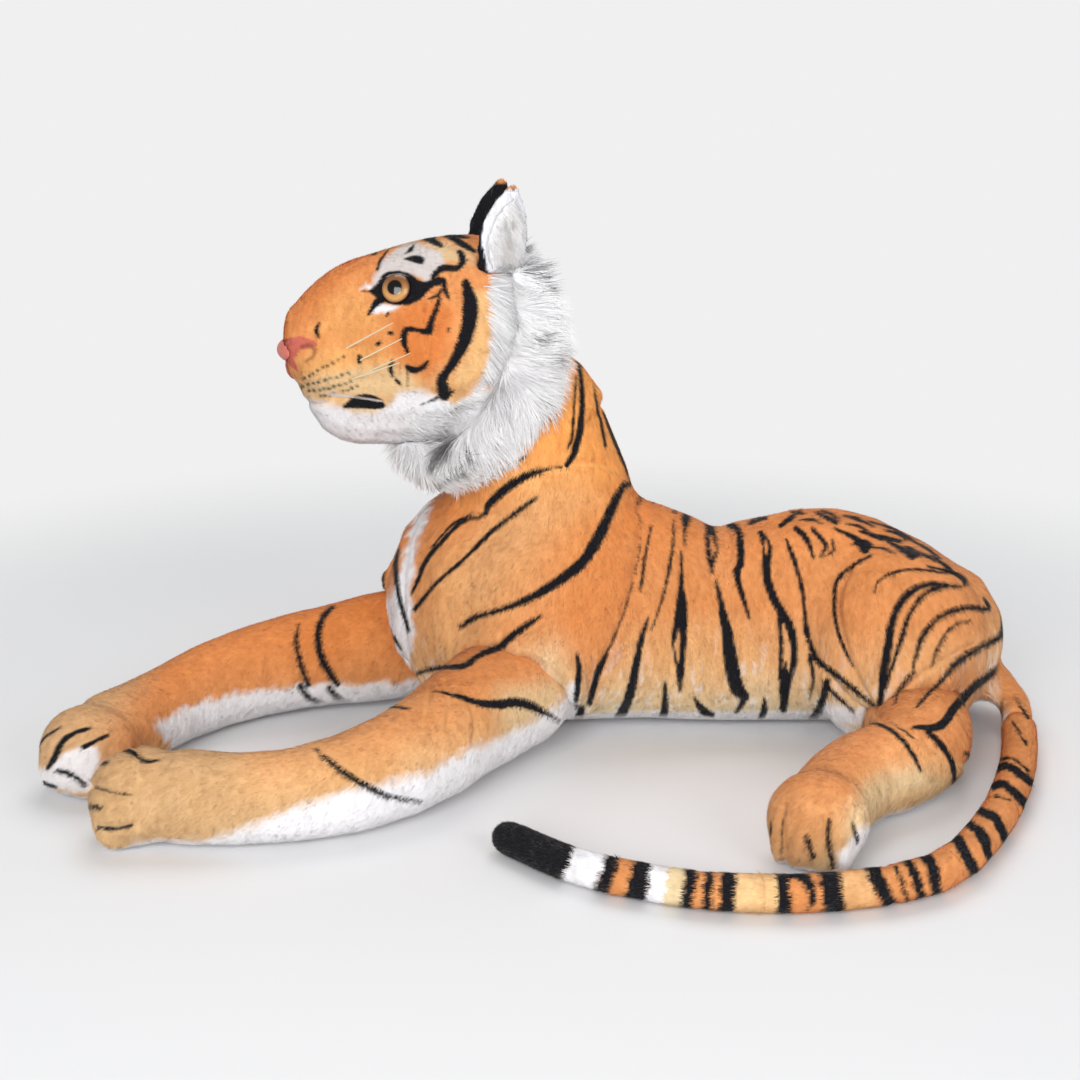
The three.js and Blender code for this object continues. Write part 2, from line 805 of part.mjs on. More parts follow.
// Shares of the reach forward, the sweep to the left, the root's height and the girth.
const tailShares = [
  [0.1, 0, 1, 1],
  [0.045, 0.035, 0.62, 1],
  [0, 0.12, 0.3, 0.99],
  [0.024, 0.27, 0.24, 0.97],
  [0.082, 0.48, 0.24, 0.96],
  [0.178, 0.71, 0.235, 0.94],
  [0.31, 0.91, 0.23, 0.92],
  [0.49, 0.985, 0.225, 0.9],
  [0.67, 0.985, 0.22, 0.88],
  [0.8, 0.94, 0.215, 0.86],
  [0.9, 0.88, 0.21, 0.86],
  [1, 0.775, 0.2, 0.84],
];

const tailFlat = 1; // how deep the tail's underside is pressed flat
const tailStop = 0.009; // the share of the tail that each piece stops short of the next pivot
const tailFace = { root: 2, end: 1 }; // how far the faces between its pieces bulge
const tailCuts = [0, 0.27, 0.44, 0.6, 0.75, 0.9, 1]; // where one tail piece ends and the next begins

function tailStation(share) {
  const [forward, sweep, rise, girth] = [0, 1, 2, 3].map((column) =>
    between(tailShares.map((row) => row[column]), share),
  );
  const radius = (girth * tailGirth) / 2;
  return {
    at: new THREE.Vector3(
      tailRoot.behind - forward * tailReach,
      tailRoot.right - sweep * tailSweep,
      Math.max(rise * tailRoot.height, radius - tailFlat),
    ),
    wide: radius,
    tall: radius,
  };
}

// One tail piece: a ball at its root, and an end that stops short of the next piece's ball
// far enough for it to swing.
function tailForm(index) {
  const from = tailCuts[index];
  const to = tailCuts[index + 1];
  const last = index === tailCuts.length - 2;
  const stop = last ? to : to - tailStop;
  const stations = [];
  for (let i = 0; i <= tailSteps; i++) stations.push(tailStation(from + ((stop - from) * i) / tailSteps));
  const endCap = last ? tailGirth / 2 : tailFace.end;
  const startCap = index === 0 ? tailFace.root : stations[0].wide;
  return stuffed(stations, { steps: tailSteps, sides: tailSides, startCap, endCap }).intersect(above(0));
}

// Assembly

const sides = { left: 1, right: -1 };
const shape = {};
const colours = {};

function piece(name, solid, colour, roughness = 0.95, metalness = 0) {
  shape[name] = solid;
  colours[name] = { colour, roughness, metalness };
}

// What a solid leaves of another.
function cut(name, solid) {
  shape[name] = largest(shape[name].subtract(solid));
}

// The body and its underside panel
piece("torso", torso.intersect(above(bellyPanelHeight + seamGap)), orange);
piece("belly_panel", torso.intersect(above(0)).subtract(above(bellyPanelHeight)), white);
piece("neck", largest(neckForm().subtract(torsoCutter)), orange);

for (const [word, side] of Object.entries(sides)) {
  piece(word + "_foreleg", forelegForm(side), orange);
  piece(word + "_forepaw", largest(forepawForm(side).subtract(forelegForm(side, seamGap))), paleOrange);
  piece(word + "_shoulder", largest(shoulderForm(side).subtract(torsoCutter)), orange);
  piece(word + "_haunch", largest(haunchForm(side).subtract(torsoCutter)), orange);
  piece(word + "_hind_leg", hindLegForm(side), orange);
  piece(word + "_hind_paw", largest(hindPawForm(side).subtract(hindLegForm(side, seamGap))), paleOrange);
}
for (const [word, side] of Object.entries(sides)) {
  const outward = (side * legSwingLimit) / 2;
  const legSpace = turned(forelegForm(side, legRoom, -legRoom), legRootPoint(side), upright, outward)
    .add(ballSeat(legRootPoint(side), forelegGirth / 2));
  const hindSpace = turned(hindLegForm(side, legRoom, -legRoom), hindRootPoint(side), upright, -outward)
    .add(ballSeat(hindRootPoint(side), hindGirth / 2));
  for (const name of ["torso", "belly_panel", word + "_shoulder"]) cut(name, legSpace);
  for (const name of ["torso", "belly_panel", word + "_haunch"]) cut(name, hindSpace);
  cut(word + "_shoulder", neckForm(seamGap));
}

// The tail
const tailNames = ["tail_base", "tail_1", "tail_2", "tail_3", "tail_4", "tail_tip"];
tailNames.forEach((name, i) => {
  const dark = i === tailNames.length - 1;
  piece(name, tailForm(i), dark ? black : orange);
});
tailNames.slice(1).forEach((name, i) => {
  const { at, wide } = tailStation(tailCuts[i + 1]);
  cut(tailNames[i], ballSeat(at, wide));
});
cut("tail_base", torsoCutter);

// The head
const neckSpace = neckForm(neckRoom, -neckRoom).add(ballSeat(neckPivot, neckTopGirth / 2));
const headCutter = headForm(seamGap);
piece("head", headForm().subtract(jawBlock(seamGap)), orange);
piece("chin", headForm().intersect(jawBlock(0)), white);
piece("nose", largest(noseForm().subtract(headCutter)), pink, 0.8);
for (const [word, side] of Object.entries(sides)) {
  const frame = eyeFrame(side).toArray();
  cut("head", socketForm().transform(frame));
  piece(word + "_eye", eyeForm().transform(frame), amber, 0.15);
  piece(word + "_eye_washer", washerForm().transform(frame), plastic, 0.5);
  const pad = largest(padForm(side).subtract(headCutter).subtract(noseForm()));
  piece(word + "_whisker_pad", pad, white);
  whiskerRows.forEach((row, i) => {
    const at = whiskerFrame(side, row).toArray();
    const seat = whiskerForm(seamGap).transform(at);
    for (const name of ["head", word + "_whisker_pad"]) cut(name, seat);
    piece(word + "_whisker_" + (i + 1), whiskerForm().transform(at), bristle, 0.4);
  });
  cut("head", placeEar(earRoom(), side));
  piece(word + "_ear_back", placeEar(earBackForm(), side), orange);
  piece(word + "_ear_lining", placeEar(largest(earLiningForm()), side), white);
  piece(word + "_ruff", largest(ruffForm(side).subtract(headCutter)), white);
}
for (const name of Object.keys(shape)) {
  const onHead = /head|chin|nose|eye|whisker|ear|ruff/.test(name);
  if (onHead) shape[name] = lookLeft(shape[name]);
}
for (const name of ["head", "chin", "left_ruff", "right_ruff"]) cut(name, neckSpace);

const group = new THREE.Group();
group.name = "plush_tiger";
for (const [name, solid] of Object.entries(shape)) {
  const { colour, roughness, metalness } = colours[name];
  const material = new THREE.MeshStandardMaterial({ color: colour, roughness, metalness });
  const mesh = new THREE.Mesh(geometryOf(solid), material);
  mesh.name = name;
  group.add(mesh);
}

// The toy stands with the middle of its outline over the origin and its underside on the floor.
const outline = new THREE.Box3().setFromObject(group);
const middle = outline.getCenter(new THREE.Vector3());
group.position.set(-middle.x, -middle.y, -outline.min.z);

export default group;
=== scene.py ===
"""A plush tiger that lies on its belly, dressed over its measured frame.

The coat is a skin with a short pile of fine tapered blades. Its markings are pen strokes read off
the photograph: each is a line of points in the photograph's pixels with a width at each
point, and it lands on the skin where the photograph's camera sees it. What the camera can't see
takes its markings from the side that it can. Lengths are in metres.
"""

import json
import math

import bmesh
import bpy
import numpy as np
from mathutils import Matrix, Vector


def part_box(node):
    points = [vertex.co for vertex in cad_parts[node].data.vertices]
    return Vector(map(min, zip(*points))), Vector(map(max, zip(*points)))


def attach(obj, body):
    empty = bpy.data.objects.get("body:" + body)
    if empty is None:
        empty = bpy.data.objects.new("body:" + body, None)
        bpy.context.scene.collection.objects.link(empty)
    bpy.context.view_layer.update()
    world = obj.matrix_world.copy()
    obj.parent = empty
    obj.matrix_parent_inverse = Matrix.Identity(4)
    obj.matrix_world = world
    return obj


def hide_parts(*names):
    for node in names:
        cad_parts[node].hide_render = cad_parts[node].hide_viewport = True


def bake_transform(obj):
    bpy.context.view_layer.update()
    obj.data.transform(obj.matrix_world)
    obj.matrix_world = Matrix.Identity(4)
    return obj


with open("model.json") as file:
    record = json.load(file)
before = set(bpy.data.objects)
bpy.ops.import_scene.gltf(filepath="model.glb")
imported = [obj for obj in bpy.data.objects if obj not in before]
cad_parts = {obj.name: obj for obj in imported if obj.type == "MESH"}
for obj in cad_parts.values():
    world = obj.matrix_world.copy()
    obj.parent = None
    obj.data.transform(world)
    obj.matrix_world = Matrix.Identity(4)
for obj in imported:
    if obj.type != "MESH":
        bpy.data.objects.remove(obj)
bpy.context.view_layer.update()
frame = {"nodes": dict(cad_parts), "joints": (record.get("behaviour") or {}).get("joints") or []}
NODES = frame["nodes"]
rng = np.random.default_rng(7)
MM = 0.001

# The photograph's camera

PHOTO_SIDE = 1080  # pixels, wide and high
CAMERA_PLACE = np.array([-0.0185, -1.4713, 0.6])
CAMERA_PITCH = math.radians(15.7)  # downwards
PITCH_SINE, PITCH_COSINE = math.sin(CAMERA_PITCH), math.cos(CAMERA_PITCH)
FOCAL_PIXELS = 1613
SENSOR = 36.0  # millimetres

# The coat

PILE_LENGTH = 5.0 * MM
PILE_WIDTH = 0.48 * MM
PILE_LIFT = 0.19  # the sine of the angle at which a blade leaves the skin
PILE_DENSITY = 0.82 / MM**2  # blades a square metre on the side that shows most
FAR_SHARE = 0.5  # of that density on the side away from the camera
FAR_TURNS = (-0.35, 0.0)  # the cosines to the camera between which it thins out
FLOOR_BARE = 0.9  # the share of the blades that is left out where the coat touches the floor
FLOOR_REACH = 3 * MM  # and fewer up to this height
ROOT_HEIGHT = 0.5 * MM  # no blade starts lower than this
RUFF_LENGTH = 27 * MM
BLADES_TO_A_PIECE = 120000
ROOT_DEPTH = 0.4 * MM  # how far a blade starts below the skin
TIP_SHARE = 0.25  # a blade's width at its tip, as a share of its width at the root
TIP_LIGHT = 1.04  # how bright a tip is; blades lighten from a darker root, as painted shade low in the pile
SCATTER = 0.11  # how far the ways of single blades differ
ROLL = 0.7  # how far a blade may roll about its own length, in radians
LENGTHS = (0.7, 1.15)  # the shares of its length that a blade may have
LIFTS = (0.6, 1.4)  # and the shares of its lift
CLUMP_SIZE = 20 * MM
NAP = 0.6  # how far neighbouring blades turn the light together
NAP_SIZE = 3.2 * MM
NAP_STRETCH = (1, 1, 0.35)  # the nap's patches are longer upright
NAP_GRAIN = 0.16  # how far each blade turns it by itself
TONE_GRAIN = 0.075  # how far the brightness of single blades differs
BACKING_SHADE = 0.93  # how bright the skin between the blades is: painted shade under the pile, which bare skins such as the nose's take too
FLOOR_GAP = 0.1 * MM  # between the floor and what lies on it

# Colours as sRGB bytes

ORANGE = (226, 152, 92)
DEEP_ORANGE = (224, 134, 66)
LIGHT_ORANGE = (230, 178, 122)
FLANK_ORANGE = (232, 146, 78)
NECK_ORANGE = (254, 176, 96)
HEAD_ORANGE = (238, 162, 98)
HIND_ORANGE = (240, 166, 104)
TAN = (214, 174, 126)
CREAM = (234, 210, 166)
GOLD = (244, 186, 114)
BROWN = (204, 124, 68)
WHITE = (246, 244, 246)
SHADE_WHITE = (226, 217, 213)
BLACK = (22, 21, 26)
NOSE_PINK = (214, 116, 100)
NOSE_DEEP = (150, 66, 58)
# the painted shade in the nose's nostril holes
NOSTRIL_SHADE_RED = (92, 38, 36)
# the nostril's painted shadow on the head
NOSTRIL_SHADOW_BROWN = (148, 84, 52)
LINING_WHITE = (250, 248, 248)
# the grey of the painted shade in an ear's hollow
LINING_SHADE_GREY = (212, 208, 206)
RUFF_WHITE = (253, 252, 253)
# the grey of the painted shadows in the ruffs
RUFF_SHADOW_GREY = (178, 172, 178)
RUFF_BLACK = (44, 42, 48)
NYLON = (236, 226, 196)
WASHER = (226, 224, 216)
BACKDROP = (240, 240, 240)
FLOOR_SHADE = (234, 234, 235)


def linear(colour):
    """An sRGB colour in bytes as linear light, the way shaders hold it."""
    c = np.asarray(colour, float) / 255
    return np.where(c <= 0.04045, c / 12.92, ((c + 0.055) / 1.055) ** 2.4)


def opaque(colour):
    """An sRGB colour in bytes as the four values of a colour socket."""
    return (*linear(colour), 1)


def smooth(low, high, x):
    """0 below low, 1 above high, and an even S between them."""
    t = np.clip((x - low) / (high - low), 0, 1)
    return t * t * (3 - 2 * t)


def unit(vectors):
    """Each vector with length 1."""
    return vectors / np.maximum(np.linalg.norm(vectors, axis=-1, keepdims=True), 1e-12)


LATTICE_SIDE = 32
LATTICE = rng.random((LATTICE_SIDE, LATTICE_SIDE, LATTICE_SIDE, 3))


def wavy(points, size, channels=1):
    """Soft noise from -1 to 1: random values on a lattice of this size, blended between its corners."""
    p = points / size
    cell = np.floor(p).astype(int)
    t = p - cell
    t = t * t * (3 - 2 * t)
    total = 0
    for corner in np.ndindex(2, 2, 2):
        share = np.prod(np.where(corner, t, 1 - t), axis=1)
        i, j, k = ((cell + corner) % LATTICE_SIDE).T
        total = total + share[:, None] * LATTICE[i, j, k, :channels]
    total = total * 2 - 1
    return total[:, 0] if channels == 1 else total


# Places on the photograph


def pixels_of(points):
    """Where the photograph's camera sees each point, in pixels from the top left."""
    away = points - CAMERA_PLACE
    ahead = away[:, 1] * PITCH_COSINE - away[:, 2] * PITCH_SINE
    up = away[:, 1] * PITCH_SINE + away[:, 2] * PITCH_COSINE
    middle = PHOTO_SIDE / 2
    return np.stack([middle + FOCAL_PIXELS * away[:, 0] / ahead, middle - FOCAL_PIXELS * up / ahead], 1)


def on_plane(u, v, y):
    """The point that the photograph's camera sees at u, v on the upright plane at y."""
    x, z = (u - PHOTO_SIDE / 2) / FOCAL_PIXELS, (PHOTO_SIDE / 2 - v) / FOCAL_PIXELS
    way = np.array([x, PITCH_COSINE + z * PITCH_SINE, z * PITCH_COSINE - PITCH_SINE])
    return CAMERA_PLACE + way * (y - CAMERA_PLACE[1]) / way[1]


def faces_camera(points, normals):
    """The cosine between each normal and the way to the photograph's camera."""
    return np.sum(normals * unit(CAMERA_PLACE - points), axis=1)


def groups_of(text):
    """The numbers of a text whose groups are parted by commas, a row for each group."""
    return np.array([[float(x) for x in group.split()] for group in text.split(",")])


def stroke_points(text):
    """A stroke's text, which is groups of u, v and width, as a smooth line of such triples.
    Between two points it is a cubic that also heeds their neighbours."""
    given = groups_of(text)
    if len(given) == 1:
        return np.repeat(given, 2, axis=0)
    ends = np.vstack([2 * given[0] - given[1], given, 2 * given[-1] - given[-2]])
    ends[[0, -1], 2] = given[[0, -1], 2]
    t = np.linspace(0, 1, 5)[:-1, None]
    parts = []
    for a, b, c, d in zip(ends, ends[1:], ends[2:], ends[3:]):
        square, cube = 2 * a - 5 * b + 4 * c - d, 3 * b - a - 3 * c + d
        parts.append(0.5 * (2 * b + (c - a) * t + square * t**2 + cube * t**3))
    line = np.vstack(parts + [given[-1:]])
    line[:, 2] = np.clip(line[:, 2], given[:, 2].min(), given[:, 2].max())
    return line


def gaps_to(places, line):
    """For each segment of a line, how far each place is from it, and the line's half width there."""
    for a, b in zip(line, line[1:]):
        along = b[:2] - a[:2]
        share = np.clip((places - a[:2]) @ along / max(along @ along, 1e-9), 0, 1)
        gap = np.linalg.norm(places - a[:2] - share[:, None] * along, axis=1)
        yield gap, (a[2] + (b[2] - a[2]) * share) / 2


def close_to(places, line, reach):
    """The numbers of the places in the box round a line, which is reach wider on each side."""
    low, high = line[:, :2].min(0) - reach, line[:, :2].max(0) + reach
    return np.flatnonzero(((places > low) & (places < high)).all(1))


def inked(places, strokes, waver, soft=0.9):
    """How much each place is covered by the strokes, from 0 to 1. The distance to a stroke is that to
    its nearest segment less half its width there; waver moves each place's own edge, in pixels."""
    cover = np.zeros(len(places))
    for text in strokes:
        line = stroke_points(text)
        near = close_to(places, line, line[:, 2].max() / 2 + 4)
        best = np.full(len(near), 1e9)
        for gap, half in gaps_to(places[near], line):
            best = np.minimum(best, gap - half)
        cover[near] = np.maximum(cover[near], 1 - smooth(-soft, soft, best + waver[near]))
    return cover


def bell(places, line):
    """1 on a line, and falling off as a bell over its half width."""
    best = np.full(len(places), 1e9)
    for gap, half in gaps_to(places, line):
        best = np.minimum(best, gap / np.maximum(half, 0.5))
    return np.exp(-(best**2))


def filled(places, outline, soft, waver):
    """How far each place lies inside an outline, from 0 to 1, over an edge that is soft pixels wide
    each way. A place is inside where a level line from it crosses the outline an odd number of times."""
    corners = groups_of(outline)
    inside = np.zeros(len(places), bool)
    gap = np.full(len(places), 1e9)
    for a, b in zip(corners, np.roll(corners, -1, axis=0)):
        crosses = (a[1] > places[:, 1]) != (b[1] > places[:, 1])
        rise = b[1] - a[1] if b[1] != a[1] else 1e-9
        inside ^= crosses & (places[:, 0] < (b[0] - a[0]) * (places[:, 1] - a[1]) / rise + a[0])
        along = b - a
        share = np.clip((places - a) @ along / (along @ along), 0, 1)
        gap = np.minimum(gap, np.linalg.norm(places - a - share[:, None] * along, axis=1))
    signed = np.where(inside, gap, -gap)
    return smooth(-soft, soft, signed + waver)


# The markings, each stroke as groups of u, v and width in the photograph's pixels

HEAD_STROKES = (
    # the cheek's broad bar and its tail
    "465 283 9, 469 300 15, 469 317 16, 464 339 14, 456 356 11, 446 372 9, 441 381 12, 444 394 13",
    "453 391 3, 436 398 3, 420 405 1",
    # from the brow to the temple
    "433 276 6, 442 268 7, 457 268 6, 462 259 8, 459 252 6",
    "443 280 6, 445 291 5, 448 299 2",
    "438 281 9, 428 284 6",
    "428 299 1, 437 295 4, 442 288 2",
    # down the cheek and under the eye
    "439 297 3, 436 308 5, 431 320 6, 428 331 8, 418 330 5, 407 329 6, 403 338 7, 407 352 4",
    "407 367 6, 414 370 7, 422 367 6, 428 361 3",
    "407 366 1.5, 407 386 1.5",
    "392 361 3, 390 368 5, 392 376 3",
    # spots
    "389 333 4, 391 333 4",
    "386 316 2, 388 313 2",
    "377 344 4, 379 343 4",
    "448 329 3, 448 331 3",
    "359 356 4, 359 362 4",
    "396 380 4, 399 383 4",
    "319 323 2, 316 330 4, 318 337 2",
    # brow marks
    "404 259 1, 413 259 7, 420 260 8",
    "405 254 1, 410 250 4, 413 246 3",
    # forehead
    "416 238 3, 427 239 7, 438 244 6, 440 246 4",
    "434 233 3, 448 236 6, 462 244 7, 474 251 4",
    "446 231 2, 458 236 4, 468 238 2",
    "387 251 2, 381 259 3, 377 270 3",
    "378 247 2, 389 247 4",
    "371 255 2, 376 254 2",
    # the corner of the mouth
    "345 406 5, 355 402 12, 366 401 15, 376 403 12, 381 405 7",
)

# The rows of whisker dots: a line, and how many dots lie on it
WHISKER_DOTS = (
    ("304 378 3.4, 322 368 3.4, 343 357 3.4", 9),
    ("303 386 3.4, 324 380 3.6, 348 372 3.4", 10),
    ("309 391 3.4, 328 388 3.6, 350 381 3.4", 9),
    ("320 396 3.2, 338 393 3.4, 356 386 3.2", 8),
)

# The black rim of the eye: an almond with a spike at its inner and lower corner
EYE_RIM = (
    "362 291 1, 370 291 3, 380 291 16, 390 290 27, 404 290 30, 414 290 22, 424 287 11, 434 281 7",
    "383 297 10, 376 303 7, 368 314 3",
    "379 283 4, 384 276 4, 391 273 3.5, 400 272.5 3.5, 408 275 3.5, 415 280 5",
)
# The nostril's painted shadow on the head's skin
NOSTRIL_SHADOW = ("301 347 3, 308 345 4, 314 349 4, 313 356 3, 306 361 3",)
# The nostril hole: pressed into the nose, with painted shade in it
NOSE_HOLE = "302 344 2, 300 352 5, 303 360 4, 308 362 2"

NECK_STROKES = (
    "565 335 2, 574 354 3, 580 376 5, 582 403 6, 579 434 7, 574 452 7, 567 465 6",
    "576 376 2, 574 406 3, 572 437 3, 567 448 2",
    "593 385 2, 599 417 3",
    "600 418 3, 605 446 3",
    "603 412 3, 614 440 4, 629 474 4",
)

SHOULDER_STROKES = (
    "482 480 3, 501 469 3, 526 456 3",
    "486 513 4, 490 503 8, 507 487 9, 529 474 8, 549 469 4, 562 467 2",
    "485 514 5, 462 522 4, 445 538 5, 427 559 5, 418 580 4, 412 593 3",
    "472 514 3, 453 524 3, 433 546 2",
    "537 497 4, 512 515 5, 490 533 5, 464 559 4, 436 583 4, 415 609 5",
    "630 481 6, 622 487 7, 609 513 10, 596 541 12, 581 563 11, 559 580 10, 533 596 8, 501 609 6, "
    "477 616 6, 461 626 5",
    "540 616 4, 525 626 7, 510 637 8, 499 647 8, 481 655 6, 464 666 6, 440 667 5, 421 671 4, 404 681 3",
    "639 515 1, 640 541 1, 634 575 1",
    "633 580 2, 625 608 2, 616 632 2, 607 652 4, 598 672 7, 590 702 6",
    "577 654 3, 579 669 6, 577 693 6, 577 708 3",
    "399 548 5, 396 567 5, 400 598 5, 409 630 4",
    "382 615 3, 390 630 4, 401 648 3",
    "385 570 3, 382 591 4",
    "370 604 3, 369 619 2",
    "582 708 8, 580 718 9",
)

FLANK_STROKES = (
    "651 525 2, 646 550 3, 640 588 3",
    "640 493 2, 638 503 4",
    "651 495 2, 652 502 3",
    "646 483 2, 658 494 3",
    "673 506 2, 673 512 3",
    "673 520 2, 672 550 3, 662 598 3, 651 630 2",
    "648 617 3, 641 639 6, 636 665 8, 629 697 10, 619 718 10",
    "681 552 3, 681 585 6, 681 610 13, 679 639 15, 680 665 10, 680 688 4",
    "680 508 2, 685 517 9, 684 530 4, 684 545 1",
    "708 525 8, 710 536 12, 711 552 12, 711 572 3",
    "716 580 3, 721 604 7, 727 633 12, 731 662 15, 737 687 15, 744 697 9, 736 712 3",
    "729 526 6, 739 530 7, 741 560 7, 737 572 7, 743 598 5, 750 619 2",
    "761 533 6, 767 547 10, 766 572 9, 772 595 9, 782 612 9, 791 630 9, 794 655 9, 786 676 13, 783 708 8",
    "779 614 4, 781 646 5, 780 678 5",
    "786 539 3, 794 560 5, 801 585 4, 804 608 5, 807 633 6, 817 659 7, 841 678 6, 876 707 5",
    "810 655 5, 813 678 4, 809 697 2",
    "822 680 3, 835 694 5, 853 710 3",
    "665 681 3, 665 703 7, 662 719 8",
    "694 697 3, 703 710 9, 712 714 5",
    "764 697 3, 764 709 7, 760 718 5",
    "827 680 7, 822 700 8, 812 719 9",
)

# Orange slits in the flank's broad stripes
FLANK_SLITS = (
    "679 631 2, 677 645 5, 678 659 2",
    "710 536 2, 712 547 4, 711 558 1",
    "765 540 2, 766 548 3, 766 554 1",
    "786 636 2, 789 652 3, 788 668 1",
)

SPINE_STROKES = (
    "796 528 6, 806 538 6, 813 556 4",
    "812 529 4, 825 544 5, 821 556 3",
    "815 513 3, 831 520 6, 836 523 5",
    "780 526 4, 790 518 6, 794 514 2",
    "834 528 3, 853 537 6, 865 549 10",
    "860 531 3, 879 537 6, 900 541 4",
    "888 542 3, 900 549 6, 912 557 7",
    "767 518 3, 751 523 4",
    "752 521 3, 765 513 3, 776 509 2",
    "798 511 2, 803 514 2",
    "905 537 2, 925 548 3, 938 558 3",
    "868 521 2, 890 528 3, 912 540 3",
    "700 508 2, 706 516 3",
    "756 522 3, 766 515 4, 776 512 2",
    "790 512 2, 803 514 3",
    "820 511 2, 830 514 3, 838 519 2",
    "841 515 2, 856 519 4, 872 526 2",
    "846 524 2, 858 526 3, 868 531 2",
    "884 530 2, 896 533 4, 906 540 2",
    "872 547 2, 884 549 3, 892 553 2",
    "916 552 2, 928 557 4, 936 562 2",
    "903 546 2, 911 550 5, 918 556 3",
    "930 555 3, 944 565 4, 956 574 2",
    "853 544 3, 862 542 6, 869 546 7, 860 550 4",
    "800 520 2, 812 520 3, 820 524 2",
    "826 556 2, 833 549 3, 832 540 2",
)

HAUNCH_STROKES = (
    "871 555 3, 858 562 4, 843 573 5, 835 588 4, 835 617 4, 842 643 4, 854 667 2",
    "874 592 1, 879 580 2, 895 572 3, 917 569 3, 947 573 2",
    "927 566 2, 949 571 4, 963 579 5, 962 586 3, 943 584 4",
    "943 584 5, 922 585 7, 903 598 8, 892 620 8, 888 645 9, 884 670 9, 879 703 6",
    "946 586 4, 926 592 5, 910 612 5, 902 635 5, 894 660 4, 884 688 4",
    "984 598 3, 987 608 6, 966 607 6, 940 616 6, 922 636 6, 912 668 3",
    "970 620 2, 954 625 3, 940 642 3, 930 668 2",
    "1002 617 4, 1001 634 6, 981 646 7, 959 660 7, 941 680 5, 917 707 3",
    "1005 652 4, 997 668 7, 974 686 9, 955 707 9, 940 726 9, 914 727 4",
    "1010 668 2, 1003 697 4, 998 728 6, 984 752 7, 965 753 4",
    "1003 703 2, 996 732 3, 983 749 3",
    "914 671 4, 899 689 4, 896 703 2",
)

NEAR_LEG_STROKES = (
    "435 691 2, 458 696 5, 481 703 7, 499 704 10, 516 702 10, 533 706 9, 559 720 3",
    "373 708 2, 386 705 3, 399 707 3, 411 709 2",
    "316 749 2, 324 756 4, 334 764 6, 352 777 7, 372 788 6, 390 796 5, 422 801 3",
    "96 760 5, 108 762 5",
    "89 784 3, 109 791 3, 132 795 2",
    "89 805 4, 101 807 5",
    "99 827 4, 117 828 4, 132 825 3",
    "140 730 4, 154 741 4",
    "112 744 4, 132 752 5, 146 761 4, 160 760 3",
)

FAR_LEG_STROKES = (
    "334 607 4, 324 617 6, 319 636 7, 322 657 8, 330 672 8, 338 684 6",
    "330 688 6, 339 698 6, 356 704 4",
    "299 624 3, 297 642 5, 301 662 6, 309 684 6",
    "301 686 6, 311 698 6, 326 704 4",
    "39 744 2, 48 735 3, 61 727 3",
    "91 728 3, 74 733 5, 62 743 6, 55 758 7, 48 768 4",
    "108 735 4, 84 747 5",
    "58 770 5, 71 774 6, 86 785 5",
    "43 782 3, 56 787 4",
)

HIND_STROKES = (
    "869 722 1, 884 726 4, 900 737 5, 911 751 5, 921 770 3",
    "892 722 1, 914 738 2",
    "928 731 6, 941 744 7, 951 760 6, 956 782 5",
    "829 734 3, 808 749 3, 790 772 3",
    "807 836 5, 814 856 6",
    "829 820 4, 829 845 6, 833 867 6",
    "853 824 4, 858 840 5",
    "783 820 1.5, 782 850 1.5, 785 866 1.5",
    "771 822 2, 771 833 2",
    "967 778 3, 963 786 2",
)

# Painted shadows between the ruff's locks, drawn in grey
RUFF_SHADOWS = (
    "500 300 3, 508 312 3, 513 326 2",
    "496 286 2, 502 298 2",
    "512 340 5, 505 352 6, 498 364 5",
    "520 372 4, 508 380 6, 492 392 5",
    "536 380 3, 545 366 4, 548 350 4",
    "505 396 5, 490 402 7, 478 410 5",
    "460 404 4, 448 416 5, 436 430 4, 424 444 3",
    "500 424 2, 492 440 3, 484 452 2",
    "532 270 3, 536 276 3, 540 284 3",
    "470 420 3, 456 440 3, 440 452 2",
)

RUFF_DARK = (
    "466 446 3, 462 458 6, 452 470 7, 440 476 7, 434 480 4",
    "456 427 3, 453 437 6, 446 447 7, 437 454 7, 430 459 4",
    "548 350 5, 545 356 6, 541 364 4",
    "533 332 5, 531 340 6, 527 348 4",
    "526 262 3, 531 272 4",
    "534 282 5, 539 290 5",
    "520 264 4, 525 273 4",
)

# Zones of colour: the colour, how soft the edge is in pixels, how much of it covers, and the
# outline as groups of u and v
HEAD_DYE = (
    # the cheek's middle
    ((222, 124, 54), 10, 0.7, "392 318, 408 302, 440 298, 452 312, 446 350, 430 376, 408 372, 396 350"),
    # behind the cheek's bar
    ((240, 200, 140), 6, 0.7, "472 290, 492 290, 494 340, 484 372, 462 392, 452 380, 466 350, 476 320"),
    # the muzzle
    (GOLD, 12, 0.7, "298 356, 330 344, 380 345, 400 366, 420 392, 380 396, 330 400, 294 390"),
    (CREAM, 6, 0.5, "386 248, 430 234, 474 250, 480 264, 462 264, 440 252, 400 250"),  # the forehead
    # the nose's ridge
    ((222, 124, 60), 10, 0.4, "288 332, 300 298, 330 270, 352 252, 376 254, 342 280, 312 312"),
    (GOLD, 12, 0.5, "312 330, 330 298, 356 284, 372 304, 384 330, 350 340"),  # the nose's side
)
HEAD_PALE = (
    # under the whiskers
    (CREAM, 9, 0.7,
     "294 384, 312 376, 344 369, 384 364, 410 372, 424 392, 400 398, 352 400, 312 400, 296 392"),
    (CREAM, 6, 0.8, "428 240, 446 244, 458 252, 456 262, 440 264, 430 256"),  # the temple
    # the jaw
    (WHITE, 5, 1,
     "296 392, 306 396, 318 403, 334 404, 352 411, 372 412, 390 404, 398 392, 420 390, 440 398, "
     "455 404, 472 392, 484 372, 490 350, 493 322, 489 292, 492 276, 530 270, 560 380, 480 480, "
     "400 480, 300 440, 280 400"),
    (WHITE, 5, 1, "498 280, 500 248, 545 240, 560 300, 500 300"),  # behind the ear
)
